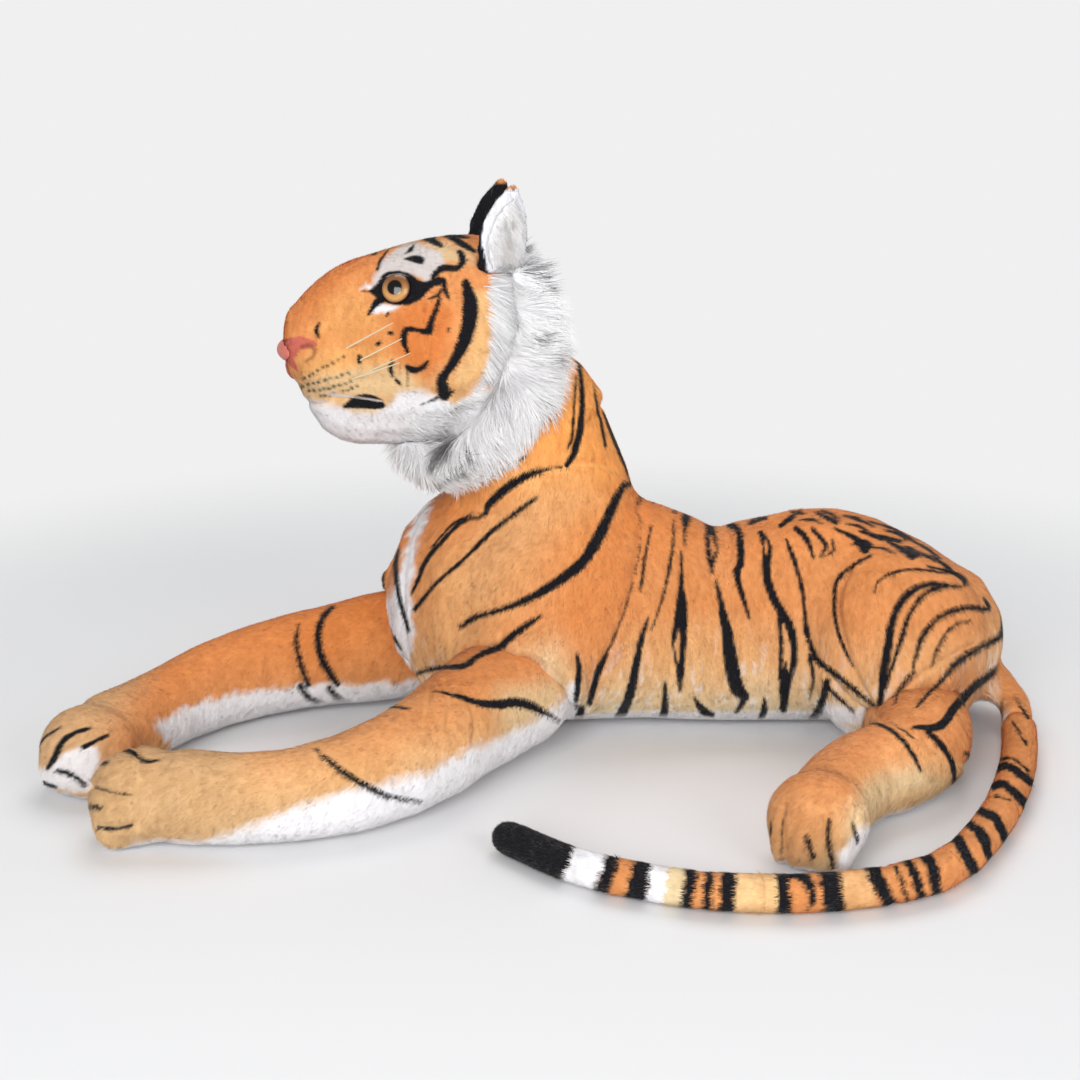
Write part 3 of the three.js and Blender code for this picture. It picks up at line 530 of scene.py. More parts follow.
EYE_WHITE = (
    # over the eye
    (SHADE_WHITE, 2.5, 1,
     "371 287, 374 274, 384 258, 396 248, 414 242, 428 247, 440 252, 444 262, 437 270, 428 282, "
     "414 276, 400 274, 384 278, 377 290"),
    (WHITE, 2.5, 1, "360 289, 372 289, 366 283"),  # at its inner corner
    (WHITE, 2.5, 1, "372 304, 382 303, 400 305, 394 310, 376 314, 370 312"),  # under it
)
BODY_DYE = (
    # the shoulder's front
    (LIGHT_ORANGE, 40, 0.75, "436 560, 520 480, 570 474, 600 500, 540 560, 440 690, 400 690"),
    (CREAM, 22, 0.6, "500 660, 560 640, 590 720, 540 730"),  # over the elbow
)
BODY_DEEP = (
    # the shoulder's back edge
    (DEEP_ORANGE, 18, 0.5, "560 600, 600 556, 642 556, 624 640, 594 690, 556 640"),
    # the haunch's foot
    (BROWN, 14, 0.6, "880 716, 905 690, 960 664, 1005 664, 1000 745, 970 765, 920 740"),
)
BODY_WHITE = (
    # the chest
    (WHITE, 4, 1,
     "448 484, 434 500, 428 520, 416 548, 412 580, 414 612, 413 640, 409 672, 400 684, 391 660, "
     "386 630, 382 606, 394 588, 402 560, 411 530, 422 500, 432 480"),
    # the throat
    (WHITE, 4, 1,
     "385 400, 430 382, 484 382, 506 400, 506 450, 486 474, 452 486, 430 500, 415 486, 380 450"),
    (WHITE, 4, 1, "566 690, 574 678, 580 700, 584 726, 560 726, 540 716"),  # behind the elbow
    (WHITE, 4, 1, "816 700, 840 706, 866 708, 880 716, 860 724, 812 724"),  # in front of the thigh
)
NEAR_LEG_ZONES = (
    (CREAM, 16, 0.7, "500 690, 560 680, 566 720, 500 738"),  # its root
    # its underside
    (WHITE, 7, 1,
     "120 862, 140 846, 200 842, 236 832, 262 823, 292 808, 330 797, 362 786, 400 779, 430 771, "
     "462 752, 500 738, 530 722, 556 706, 572 690, 600 690, 600 740, 430 850, 200 880"),
)
FAR_LEG_ZONES = (
    # its underside
    (WHITE, 5, 1,
     "150 724, 176 712, 200 702, 236 694, 270 687, 310 684, 360 683, 420 680, 420 720, 290 722, "
     "215 735, 185 760, 168 742"),
    # between the toes
    (WHITE, 4, 0.9, "62 752, 78 744, 98 745, 100 770, 88 790, 50 792, 34 776, 40 768, 56 764"),
)
HIND_DYE = (
    # the leg's front edge and the paw
    (BROWN, 16, 0.35,
     "890 716, 850 722, 815 740, 785 765, 764 810, 762 850, 790 872, 826 846, 838 806, 862 772, "
     "884 744"),
    # its back
    (CREAM, 14, 0.8, "960 790, 905 796, 885 808, 868 836, 852 846, 846 820, 862 786, 890 768, 930 768"),
)
HIND_PALE = (
    (WHITE, 6, 1, "838 876, 840 856, 850 842, 862 826, 876 824, 872 850, 860 870"),  # the heel
)

# Outlines by themselves
NOSE_PATCH = (
    "278 346, 286 338, 301 336, 313 340, 318 345, 310 348, 301 350, 296 354, 293 359, 296 364, "
    "298 371, 292 368, 284 360"
)
EAR_INSIDE = "495 194, 505 191, 530 190, 540 240, 530 296, 493 290, 487 268, 482 244, 483 226, 487 208"
EAR_TIP = "490 180, 492 193, 512 190, 540 194, 540 176, 500 172"
# Where painted shade darkens the ear's hollow
EAR_HOLLOW_SHADE = "499 226, 510 218, 514 262, 506 272, 497 262"
# Where the cheek's long hair grows
CHEEK_FRINGE = (
    "485 284, 492 268, 530 256, 530 345, 512 385, 480 415, 440 436, 398 436, 416 416, 450 406, "
    "478 388, 489 352"
)
# The haunch's lower edge as the photograph shows it: what lies above it on the leg's root is haunch
HAUNCH_OVER = "860 640, 877 716, 905 728, 930 744, 960 762, 992 768, 1020 700, 1010 640"

# The tail's middle line where it lies along the photograph: u and v
TAIL_MIDDLE = "500 836, 550 853, 600 872, 650 886, 700 893, 750 896, 800 895, 850 889, 900 876, 950 850"
# The tail: bands by u where it lies along the photograph, strokes across it where it turns away
TAIL_BANDS = (
    (300, 571, BLACK), (571, 602, WHITE), (602, 616, BLACK), (616, 630, ORANGE), (630, 649, BLACK),
    (649, 666, WHITE), (666, 684, CREAM), (684, 696, BLACK), (696, 705, ORANGE), (705, 714, BLACK),
    (714, 721, ORANGE), (721, 736, BLACK), (736, 778, (240, 198, 142)), (778, 792, BLACK), (792, 822, ORANGE),
    (822, 843, BLACK), (843, 873, LIGHT_ORANGE), (873, 1080, ORANGE),
)
TAIL_STROKES = (
    "794 874 9, 805 877 10, 812 888 10, 813 903 6, 808 909 2",
    "874 870 15, 880 882 15, 892 908 14",
    "896 867 4, 902 880 5, 908 900 4",
    "907 860 9, 916 876 9, 922 896 9",
    "921 850 12, 932 866 12, 938 894 11",
    "951 832 11, 962 846 12, 975 872 11",
    "970 824 9, 983 836 11, 989 856 8",
    "982 811 9, 996 819 10, 1007 842 9",
    "994 786 8, 1006 785 8, 1028 806 10",
    "994 771 7, 1008 766 8, 1030 782 9",
    "998 760 3, 1012 758 3, 1028 770 3",
    "1012 720 2, 1026 744 3",
    "1014 698 2, 1028 718 3",
    "996 796 3, 1010 800 3",
)

# Where the legs come out of the shoulder and the haunch
LEG_ROOTS = (
    "470 660 36, 500 645 44, 530 648 44, 560 664 40, 574 684 26",
    "880 694 36, 900 676 44, 922 670 44, 940 672 34",
)
# The rump's top line: u and v
RUMP_LINE = "730 532, 765 522, 800 513, 840 513, 880 524, 930 550, 960 572, 985 600"

# Creases that thread or folds pull into the coat: groups of u, v and width, with the depth in millimetres
BODY_CREASES = (
    (2.2, "545 470 7, 580 462 9, 612 466 9, 632 484 9, 641 515 9, 640 545 9, 632 590 9, 617 632 9, "
          "600 668 9, 588 704 9"),
    (1.0, "486 514 8, 512 517 10, 530 519 8"),
    (1.6, "520 648 12, 542 664 14, 562 682 12"),
    (3.0, "410 680 9, 440 672 12, 480 658 12, 520 634 12, 544 620 9"),
    (3.0, "420 500 7, 408 540 7, 402 590 7, 404 640 7, 409 680 7"),
    (4.0, "852 566 5, 838 600 7, 846 650 8, 862 690 8, 880 716 7"),
    (3.0, "812 560 4, 806 600 7, 812 650 7, 850 700 7, 878 716 6"),
    (3.5, "877 716 7, 905 690 7, 940 660 6, 975 644 4"),
    (3.0, "880 712 7, 920 728 7, 955 740 6, 990 760 5"),
    (2.0, "848 575 3, 872 566 5, 900 580 4"),
)
FORELEG_CREASES = (
    (2.4, "446 680 7, 452 704 10, 449 726 8"),
    (2.0, "466 690 6, 476 716 9, 474 738 7"),
    (1.8, "430 684 6, 428 706 8, 424 726 6"),
    (1.4, "318 756 6, 322 778 8, 318 796 6"),
    (1.2, "330 774 5, 336 790 7, 332 802 5"),
    (2.2, "137 748 8, 141 768 10, 139 800 11, 138 824 9"),
    (2.4, "90 786 8, 112 792 10, 132 796 8"),
    (2.0, "98 826 8, 118 828 10, 132 826 8"),
    (1.8, "112 746 8, 134 754 9, 148 761 8"),
    (2.2, "58 748 8, 74 740 9, 92 734 8"),
    (2.2, "62 772 8, 78 778 9, 90 786 8"),
)
HIND_CREASES = (
    (1.6, "785 804 8, 800 796 10, 824 808 10, 832 816 8"),
    (2.4, "783 806 7, 781 830 9, 786 866 9"),
    (2.4, "829 816 7, 828 840 9, 833 868 9"),
    (2.0, "858 812 6, 856 826 8, 858 846 7"),
    (2.4, "877 716 9, 905 726 11, 930 742 12, 960 762 12, 985 772 10"),
)
HEAD_CREASES = (
    (2.2, "424 290 3, 442 291 5, 462 291 4"),
    (2.2, "437 290 3, 448 284 5, 452 272 4"),
    (1.6, "362 291 3, 366 276 5, 376 262 4"),
    (2.6, "330 398 5, 352 400 7, 380 404 6"),
    (2.0, "298 396 5, 312 404 6, 332 402 5"),
    (1.2, "427 300 2, 424 330 4, 426 352 3"),
)


# Meshes


def linked(name, data):
    """A new object in the scene that holds this mesh, light or camera."""
    piece = bpy.data.objects.new(name, data)
    bpy.context.scene.collection.objects.link(piece)
    return piece


def mesh_object(name, points, faces):
    """An object from an (n, 3) array of points and an (m, k) array of corner numbers."""
    mesh = bpy.data.meshes.new(name)
    mesh.vertices.add(len(points))
    mesh.vertices.foreach_set("co", np.asarray(points, np.float32).ravel())
    mesh.loops.add(faces.size)
    mesh.loops.foreach_set("vertex_index", np.asarray(faces, np.int32).ravel())
    mesh.polygons.add(len(faces))
    mesh.polygons.foreach_set("loop_start", np.arange(0, faces.size, faces.shape[1], dtype=np.int32))
    mesh.update(calc_edges=True)
    mesh.shade_smooth()
    return linked(name, mesh)


def built(name, work):
    """An object from a bmesh, which it frees."""
    mesh = bpy.data.meshes.new(name)
    work.to_mesh(mesh)
    work.free()
    mesh.shade_smooth()
    return linked(name, mesh)


def vectors_of(piece, attribute):
    """One of the vertices' vectors as an (n, 3) array."""
    found = np.empty(len(piece.data.vertices) * 3, np.float32)
    piece.data.vertices.foreach_get(attribute, found)
    return found.reshape(-1, 3).astype(float)


def points_of(piece):
    """The vertices' places."""
    return vectors_of(piece, "co")


def normals_of(piece):
    """The vertices' normals."""
    return vectors_of(piece, "normal")


def place_points(piece, points):
    """Writes the vertices' places back."""
    piece.data.vertices.foreach_set("co", points.astype(np.float32).ravel())
    piece.data.update()
    return piece


def gathered(name, *nodes):
    """One object that holds merged copies of some nodes."""
    work = bmesh.new()
    for node in nodes:
        work.from_mesh(NODES[node].data)
    bmesh.ops.remove_doubles(work, verts=work.verts, dist=0.01 * MM)
    return built(name, work)


def settled(piece):
    """The piece with its modifiers made part of its mesh."""
    evaluated = piece.evaluated_get(bpy.context.evaluated_depsgraph_get())
    mesh = bpy.data.meshes.new_from_object(evaluated)
    old = piece.data
    piece.modifiers.clear()
    piece.data = mesh
    mesh.name = piece.name
    bpy.data.meshes.remove(old)
    mesh.shade_smooth()
    return piece


def remeshed(piece, size):
    """The piece as one closed surface of even squares of this size."""
    remesh = piece.modifiers.new("Even squares", "REMESH")
    remesh.mode = "VOXEL"
    remesh.voxel_size = size
    return settled(piece)


def divided(piece):
    """The piece with each square divided in four and rounded."""
    rounder = piece.modifiers.new("Rounder", "SUBSURF")
    rounder.levels = rounder.render_levels = 1
    return settled(piece)


EVEN_OUT, EVEN_BACK = 0.6, -0.56
FILLET_ROUNDS = 4  # while the piece is swollen
FORM_ROUNDS = 6  # once it has shrunk back


def relaxed(piece, rounds):
    """Evens the surface: each round moves a point towards the mean of its neighbours, and then nearly
    as far back, so that forms keep their size."""
    points = points_of(piece)
    edges = np.empty(len(piece.data.edges) * 2, np.int32)
    piece.data.edges.foreach_get("vertices", edges)
    a, b = edges.reshape(-1, 2).T
    here, there = np.r_[a, b], np.r_[b, a]
    count = np.maximum(np.bincount(here, minlength=len(points)), 1)[:, None]
    for share in (EVEN_OUT, EVEN_BACK) * rounds:
        total = np.stack([np.bincount(here, points[there, i], len(points)) for i in range(3)], 1)
        points = points + (total / count - points) * share
    return place_points(piece, points)


def swollen(piece, amount):
    """Moves each point outwards by its own amount."""
    return place_points(piece, points_of(piece) + normals_of(piece) * np.asarray(amount).reshape(-1, 1))


def filleted(piece, radius, size):
    """Rounds the hollows between its forms: swells it, makes one surface of it again, and shrinks it."""
    remeshed(swollen(piece, radius), size)
    swollen(relaxed(piece, FILLET_ROUNDS), -radius)
    return relaxed(piece, FORM_ROUNDS)


STUFFING_PRESSURE = 3.5
STUFFING_FRAMES = 20
STUFFING_STIFFNESS = 12


def filled_out(piece, most):
    """Stuffs the piece: blows it up as cloth for some frames, and lets no point move further than most."""
    start = points_of(piece)
    modifier = piece.modifiers.new("Stuffing", "CLOTH")
    cloth = modifier.settings
    cloth.quality = 5
    cloth.mass = 0.3
    cloth.tension_stiffness = cloth.compression_stiffness = STUFFING_STIFFNESS
    cloth.shear_stiffness = STUFFING_STIFFNESS / 2
    cloth.bending_stiffness = 0.4
    cloth.use_pressure = True
    cloth.uniform_pressure_force = STUFFING_PRESSURE
    cloth.effector_weights.gravity = 0
    modifier.point_cache.frame_start = 1
    modifier.point_cache.frame_end = STUFFING_FRAMES
    for number in range(1, STUFFING_FRAMES + 1):
        bpy.context.scene.frame_set(number)
    settled(piece)
    bpy.context.scene.frame_set(1)
    moved = points_of(piece) - start
    length = np.linalg.norm(moved, axis=1, keepdims=True)
    return place_points(piece, start + moved * np.minimum(1, most / np.maximum(length, 1e-9)))


def above_floor(points):
    """The points, with those in the floor or under it raised to a hair above it."""
    points[:, 2] = np.maximum(points[:, 2], FLOOR_GAP)
    return points


def on_floor(piece):
    """Keeps the underside a hair above the floor."""
    return place_points(piece, above_floor(points_of(piece)))


# Where the markings come from

FAR_TURN = 0.04  # what turns less than this to the camera doesn't show its markings


class Fold:
    """The upright plane that folds the far side of a form onto its near side: a place on it and its
    direction along the form, which may turn with x as a spine does. A whole fold takes all that lies
    beyond the plane; any other takes only what the camera doesn't see."""

    def __init__(self, place, angle, whole=False):
        """Keeps the place and the angle as functions of x."""
        self.place, self.angle, self.whole = place, angle, whole

    def seen(self, points, normals):
        """Where to look up each point's markings: its own place or its mirror place."""
        angle = self.angle(points[:, 0])
        across = np.stack([-np.sin(angle), np.cos(angle), 0 * angle], 1)
        side = np.sum((points - self.place(points[:, 0])) * across, axis=1)
        mirror = (side > 0) & (self.whole | (faces_camera(points, normals) < FAR_TURN))
        return np.where(mirror[:, None], points - 2 * side[:, None] * across, points)


def box_middle(*names):
    """The middle of the box round some nodes."""
    low, high = np.min([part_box(n)[0] for n in names], 0), np.max([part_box(n)[1] for n in names], 0)
    return (low + high) / 2


def joint_place(name):
    """Where a joint turns."""
    return np.array(next(j for j in frame["joints"] if j["name"] == name)["pos_m"])


CHEST_BEHIND = 0.085  # how far the chest's middle lies behind the neck's front edge
SPINE_EASE = 0.34  # how far behind it the spine runs straight
CHEST_TURN = math.radians(35)
HIP_TURN = math.radians(10)
HEAD_YAW = math.radians(7)
HEAD_PIVOT = joint_place("head_turn")
CHEST_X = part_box("neck")[0][0] + CHEST_BEHIND
LOIN_X = CHEST_X + SPINE_EASE
SPINE_Y = box_middle("torso")[1]
HIND_X = box_middle("left_hind_leg", "right_hind_leg", "left_haunch", "right_haunch")[0]
TAIL_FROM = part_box("tail_base")[0][0]


def spine_angle(x):
    """The spine's direction from +X towards +Y: the chest's turn ahead, easing to none behind it."""
    return CHEST_TURN * (1 - smooth(CHEST_X, LOIN_X, x))


def spine_middle(x):
    """The fold's place: the chest's middle ahead of it, and the spine beside x behind it."""
    return np.stack([np.maximum(x, CHEST_X), np.full_like(x, SPINE_Y), 0 * x], 1)


def straight_fold(place, angle, whole=False):
    """A fold that is one flat plane."""
    return Fold(lambda x: np.tile(place, (len(x), 1)), lambda x: np.full_like(x, angle), whole)


BODY_FOLD = Fold(spine_middle, spine_angle)
HEAD_FOLD = straight_fold(HEAD_PIVOT, HEAD_YAW)
HIND_FOLD = straight_fold([HIND_X, SPINE_Y, 0.0], HIP_TURN, whole=True)
HEAD_ACROSS = np.array([-math.sin(HEAD_YAW), math.cos(HEAD_YAW), 0])


def mirrored_by_head(points):
    """Each point's mirror place in the head's own middle plane."""
    side = (points - HEAD_PIVOT) @ HEAD_ACROSS
    return points - 2 * side[:, None] * HEAD_ACROSS


def near_places(points):
    """The points, with those beyond the head's middle at their mirror places."""
    return np.where((points[:, 1] > HEAD_PIVOT[1])[:, None], mirrored_by_head(points), points)


# Colours of the coat


def mixed(colours, other, share):
    """colours with other laid over them by share."""
    return colours + (linear(other) - colours) * share[:, None]


def zoned(colours, at, zones, ragged):
    """colours with zones laid over them: each a colour, how soft its edge is, its share and outline."""
    for shade, soft, share, outline in zones:
        colours = mixed(colours, shade, filled(at, outline, soft, ragged) * share)
    return colours


def even(colour, points):
    """One colour for all points."""
    return np.tile(linear(colour), (len(points), 1))


def by_height(z, stops):
    """Colours between stops of height and colour."""
    heights = [h for h, _ in stops]
    table = np.array([linear(c) for _, c in stops])
    return np.stack([np.interp(z, heights, table[:, i]) for i in range(3)], 1)


def dots_on(text, count):
    """So many dots spread along a stroke, each a short stroke of its own."""
    line = stroke_points(text)
    places = line[np.linspace(0, len(line) - 1, count).round().astype(int)]
    return [f"{u + rng.normal(0, 0.5)} {v + rng.normal(0, 0.5)} {w}" for u, v, w in places]


DOTS = [dot for text, count in WHISKER_DOTS for dot in dots_on(text, count)]


def mottled(colours, points):
    """Uneven dye: broad patches that lean to the deeper orange, and upright streaks."""
    broad = wavy(points, 0.055) * 0.6 + wavy(points + 3, 0.024) * 0.4
    streak = wavy(points * [1, 1, 0.25] + 7, 0.0026) * 0.6 + wavy(points * [1, 1, 0.3] + 1, 0.0052) * 0.5
    shift = 1 + broad[:, None] * [0.05, 0.1, 0.18] + streak[:, None] * [0.15, 0.2, 0.25]
    return colours * shift


def stroke_waver(points):
    """How far the edges of broad strokes stray, in pixels."""
    return wavy(points, 0.0035) * 0.7


def stray_height(points):
    """The points' heights, strayed so that a change of colour by height isn't level."""
    return points[:, 2] + wavy(points, 0.03) * 0.008


def inked_over(colours, ink, normals, start, end):
    """colours with a white underside, where normals point down from start to end, and elsewhere with
    black markings by ink."""
    under = smooth(start, end, normals[:, 2])
    return mixed(mixed(colours, WHITE, under), BLACK, ink * (1 - under))


def body_coat(points, normals):
    """The colours of body, neck, shoulders and haunches."""
    at = pixels_of(BODY_FOLD.seen(points, normals))
    waver = stroke_waver(points)
    ragged = wavy(points, 0.006) * 3.5
    z = stray_height(points)
    colour = by_height(
        z,
        [(0.035, CREAM), (0.085, LIGHT_ORANGE), (0.14, ORANGE), (0.17, ORANGE), (0.215, FLANK_ORANGE),
         (0.26, NECK_ORANGE)],
    )
    colour = mottled(zoned(colour, at, BODY_DYE, ragged), points)
    colour = zoned(colour, at, BODY_DEEP, ragged)
    streak = smooth(0.1, 0.7, wavy(points * [1, 1, 0.2], 0.004)) * (1 - smooth(0.05, 0.13, z))
    colour = mixed(colour, WHITE, streak * 0.45)
    colour = zoned(colour, at, BODY_WHITE, ragged)
    colour = mixed(colour, WHITE, 1 - smooth(0.024, 0.032, points[:, 2] + ragged * 0.0006))
    strokes = NECK_STROKES + SHOULDER_STROKES + FLANK_STROKES + SPINE_STROKES + HAUNCH_STROKES
    ink = np.minimum(inked(at, strokes, waver), 1 - inked(at, FLANK_SLITS, waver))
    colour = mixed(colour, BLACK, ink * (1 - smooth(-0.75, -0.95, normals[:, 2])))
    tail = smooth(TAIL_FROM, TAIL_FROM + 0.015, points[:, 0]) * (1 - smooth(0.07, 0.085, points[:, 2]))
    return colour + (tail_coat(points, normals) - colour) * tail[:, None]


NEAR_WRIST_X, FAR_WRIST_X = -0.29, -0.41
FAR_LEG_SHADE_RISE = 0.05  # how much higher on the leg each colour of the far foreleg starts to show; its deeper orange is painted shade
LEG_STOPS = ((0.01, CREAM), (0.035, TAN), (0.065, LIGHT_ORANGE), (0.1, ORANGE), (0.16, DEEP_ORANGE))


def foreleg_coat(points, normals, near):
    """The colours of a foreleg and its paw, the same on both of its sides. near tells the two apart."""
    at = pixels_of(points)
    rise, wrist = (0, NEAR_WRIST_X) if near else (FAR_LEG_SHADE_RISE, FAR_WRIST_X)
    # the far foreleg takes deeper colours: painted shade
    colour = by_height(stray_height(points) + rise, LEG_STOPS)
    paw = 1 - smooth(wrist, wrist + 0.05, points[:, 0])
    colour = mottled(mixed(colour, TAN, paw * 0.85), points)
    colour = zoned(colour, at, NEAR_LEG_ZONES if near else FAR_LEG_ZONES, wavy(points, 0.007) * 4)
    strokes = NEAR_LEG_STROKES + SHOULDER_STROKES if near else FAR_LEG_STROKES
    return inked_over(colour, inked(at, strokes, stroke_waver(points)), normals, -0.55, -0.85)


HIND_STOPS = ((0.0, CREAM), (0.02, TAN), (0.04, LIGHT_ORANGE), (0.08, HIND_ORANGE))


def hind_coat(points, normals):
    """The colours of a hind leg and its paw; the far one mirrors the near one."""
    at = pixels_of(HIND_FOLD.seen(points, normals))
    ragged = wavy(points, 0.007) * 4
    colour = zoned(by_height(stray_height(points), HIND_STOPS), at, HIND_DYE, ragged)
    colour = mottled(mixed(colour, ORANGE, filled(at, HAUNCH_OVER, 5, ragged)), points)
    colour = zoned(colour, at, HIND_PALE, ragged)
    ink = inked(at, HIND_STROKES + HAUNCH_STROKES, stroke_waver(points))
    return inked_over(colour, ink, normals, -0.5, -0.8)


HEAD_STOPS = ((0.3, CREAM), (0.335, LIGHT_ORANGE), (0.37, HEAD_ORANGE), (0.44, HEAD_ORANGE), (0.5, ORANGE))


def head_coat(points, normals):
    """The colours of the head; its far side mirrors the near one."""
    at = pixels_of(HEAD_FOLD.seen(points, normals))
    waver = wavy(points, 0.003) * 0.5
    ragged = wavy(points, 0.005) * 2.2
    colour = by_height(points[:, 2] + wavy(points, 0.02) * 0.006, HEAD_STOPS)
    colour = mottled(zoned(colour, at, HEAD_DYE, ragged), points)
    colour = zoned(colour, at, HEAD_PALE, ragged)
    colour = mixed(colour, NOSE_PINK, filled(at, NOSE_PATCH, 0.8, wavy(points, 0.003) * 0.4))
    # the nostril's painted shadow
    colour = mixed(colour, NOSTRIL_SHADOW_BROWN, inked(at, NOSTRIL_SHADOW, waver, soft=1.8) * 0.75)
    colour = zoned(colour, at, EYE_WHITE, ragged * 0.7)
    ink = np.maximum(inked(at, HEAD_STROKES + EYE_RIM, waver), inked(at, DOTS, waver) * 0.85)
    return inked_over(colour, ink, normals, -0.5, -0.75)


def tail_coat(points, _normals):
    """The tail's rings: bands square to its middle line, and strokes across it where it turns away.
    A point's band is that of u + slope (v - middle), where slope is the line's own at u."""
    at = pixels_of(points)
    waver = wavy(points, 0.004) * 1.2
    along, middle = groups_of(TAIL_MIDDLE).T
    slope = np.interp(at[:, 0], along, np.gradient(middle, along))
    off = at[:, 1] - np.interp(at[:, 0], along, middle)
    u = at[:, 0] + waver * 1.5 + slope * off
    colour = even(ORANGE, points)
    ink = np.zeros(len(points))
    for low, high, shade in TAIL_BANDS:
        share = smooth(low - 0.8, low + 0.8, u) * (1 - smooth(high - 0.8, high + 0.8, u))
        if shade is BLACK:
            ink = np.maximum(ink, share)
        else:
            colour = mixed(colour, shade, share)
    ink = np.maximum(ink, inked(at, TAIL_STROKES, waver))
    return mixed(mottled(colour, points), BLACK, ink)


def nose_coat(points, normals):
    """Pink velour that darkens towards the lip, with painted shade in the nostrils."""
    at = pixels_of(HEAD_FOLD.seen(points, normals))
    waver = wavy(points, 0.003) * 0.5
    colour = mottled(even(NOSE_PINK, points), points * 2)
    colour = mixed(colour, NOSE_DEEP, smooth(352, 372, at[:, 1]) * 0.5)
    return mixed(colour, NOSTRIL_SHADE_RED, inked(at, (NOSE_HOLE,), waver, soft=1.6) * 0.8)


def ear_coat(points, normals):
    """An ear's back and rim: black behind and along its front edge, orange at the tip, and white
    round the inside. Both ears have the near one's colours."""
    far = (points[:, 1] > HEAD_PIVOT[1])[:, None]
    at = pixels_of(near_places(points))
    waver = wavy(points, 0.003) * 0.8
    front = np.where(far, mirrored_by_head(normals + HEAD_PIVOT), normals)
    colour = mixed(even(BLACK, points), ORANGE, filled(at, EAR_TIP, 0.8, waver))
    open_side = smooth(0.0, 0.25, faces_camera(points, front))
    colour = mixed(colour, WHITE, filled(at, EAR_INSIDE, 0.8, waver) * open_side)
    return mottled(colour, points)


def lining_coat(points, _normals):
    """An ear's inside: white, with painted shade in grey in its hollow."""
    hollow = filled(pixels_of(near_places(points)), EAR_HOLLOW_SHADE, 4, wavy(points, 0.004) * 2)
    return mixed(even(LINING_WHITE, points), LINING_SHADE_GREY, hollow * 0.8)


def ruff_coat(points, _normals):
    """The ruffs: white, with painted shadows in grey between the locks, and a few black tufts."""
    at = pixels_of(near_places(points))
    waver = wavy(points, 0.003) * 2.5
    colour = even(RUFF_WHITE, points) * (1 + wavy(points, 0.006)[:, None] * [0.06, 0.055, 0.05])
    colour = mixed(colour, RUFF_SHADOW_GREY, inked(at, RUFF_SHADOWS, waver, soft=2.5) * 0.45)
    return mixed(colour, RUFF_BLACK, inked(at, RUFF_DARK, waver, soft=2.0) * 0.8)


# Forms that the photograph shows on the coat


RUMP_SIDES = (0.02, 0.1)  # how far from the spine the rump's filling starts to ease out, and ends
RUMP_BACK = (0.05, 0.01)  # and how far ahead of the tail's root
CREASE_REACH = 1.6  # how many widths from its line a crease still counts


def rump_filled(piece):
    """Fills the saddle between the haunches up to the rump's top line, less and less to its sides."""
    line = np.array([on_plane(u, v, SPINE_Y) for u, v in groups_of(RUMP_LINE)])
    points, normals = points_of(piece), normals_of(piece)
    top = np.interp(points[:, 0], line[:, 0], line[:, 2], left=0, right=0)
    share = (1 - smooth(*RUMP_SIDES, np.abs(points[:, 1] - SPINE_Y))) * smooth(0.0, 0.5, normals[:, 2])
    share = share * (1 - smooth(TAIL_FROM - RUMP_BACK[0], TAIL_FROM - RUMP_BACK[1], points[:, 0]))
    points[:, 2] += np.maximum(top - points[:, 2], 0) * share
    return place_points(piece, points)


def creased(piece, fold, creases):
    """Presses creases into the piece: deepest along a stroke, and fading within its width."""
    points, normals = points_of(piece), normals_of(piece)
    at = pixels_of(fold.seen(points, normals) if fold else points)
    for depth, text in creases:
        line = stroke_points(text)
        near = close_to(at, line, line[:, 2].max() * CREASE_REACH)
        points[near] -= normals[near] * (depth * MM * bell(at[near], line))[:, None]
    return place_points(piece, points)


# Pile


def coloured(piece, colours):
    """Keeps a colour for each vertex, which the coat's material reads."""
    layer = piece.data.color_attributes.new("Coat", "FLOAT_COLOR", "POINT")
    full = np.ones((len(colours), 4), np.float32)
    full[:, :3] = np.clip(colours, 0, 1)
    layer.data.foreach_set("color", full.ravel())
    piece.data.color_attributes.active_color = layer
    return piece


def sown(piece, density):
    """Roots spread over a piece: places and normals, as many a square metre as density says for
    each place and normal. A root lies in its triangle by two random shares."""
    mesh = piece.data
    mesh.calc_loop_triangles()
    corners = np.empty(len(mesh.loop_triangles) * 3, np.int32)
    mesh.loop_triangles.foreach_get("vertices", corners)
    corners = corners.reshape(-1, 3)
    points, normals = points_of(piece), normals_of(piece)
    a, b, c = (points[corners[:, i]] for i in range(3))
    area = np.linalg.norm(np.cross(b - a, c - a), axis=1) / 2
    weight = area * density((a + b + c) / 3, unit(normals[corners].sum(1)))
    count = int(weight.sum())
    chosen = rng.choice(len(corners), count, p=weight / weight.sum())
    s, t = rng.random((2, count))
    s, t = np.where(s + t > 1, [1 - s, 1 - t], [s, t])
    shares = np.stack([1 - s - t, s, t], 1)[:, :, None]
    places = (points[corners[chosen]] * shares).sum(1)
    return places, unit((normals[corners[chosen]] * shares).sum(1))


def square_to(normals, ways):
    """Unit ways along the surface: what is left of each way without its part along the normal."""
    return unit(ways - np.sum(ways * normals, axis=1, keepdims=True) * normals)


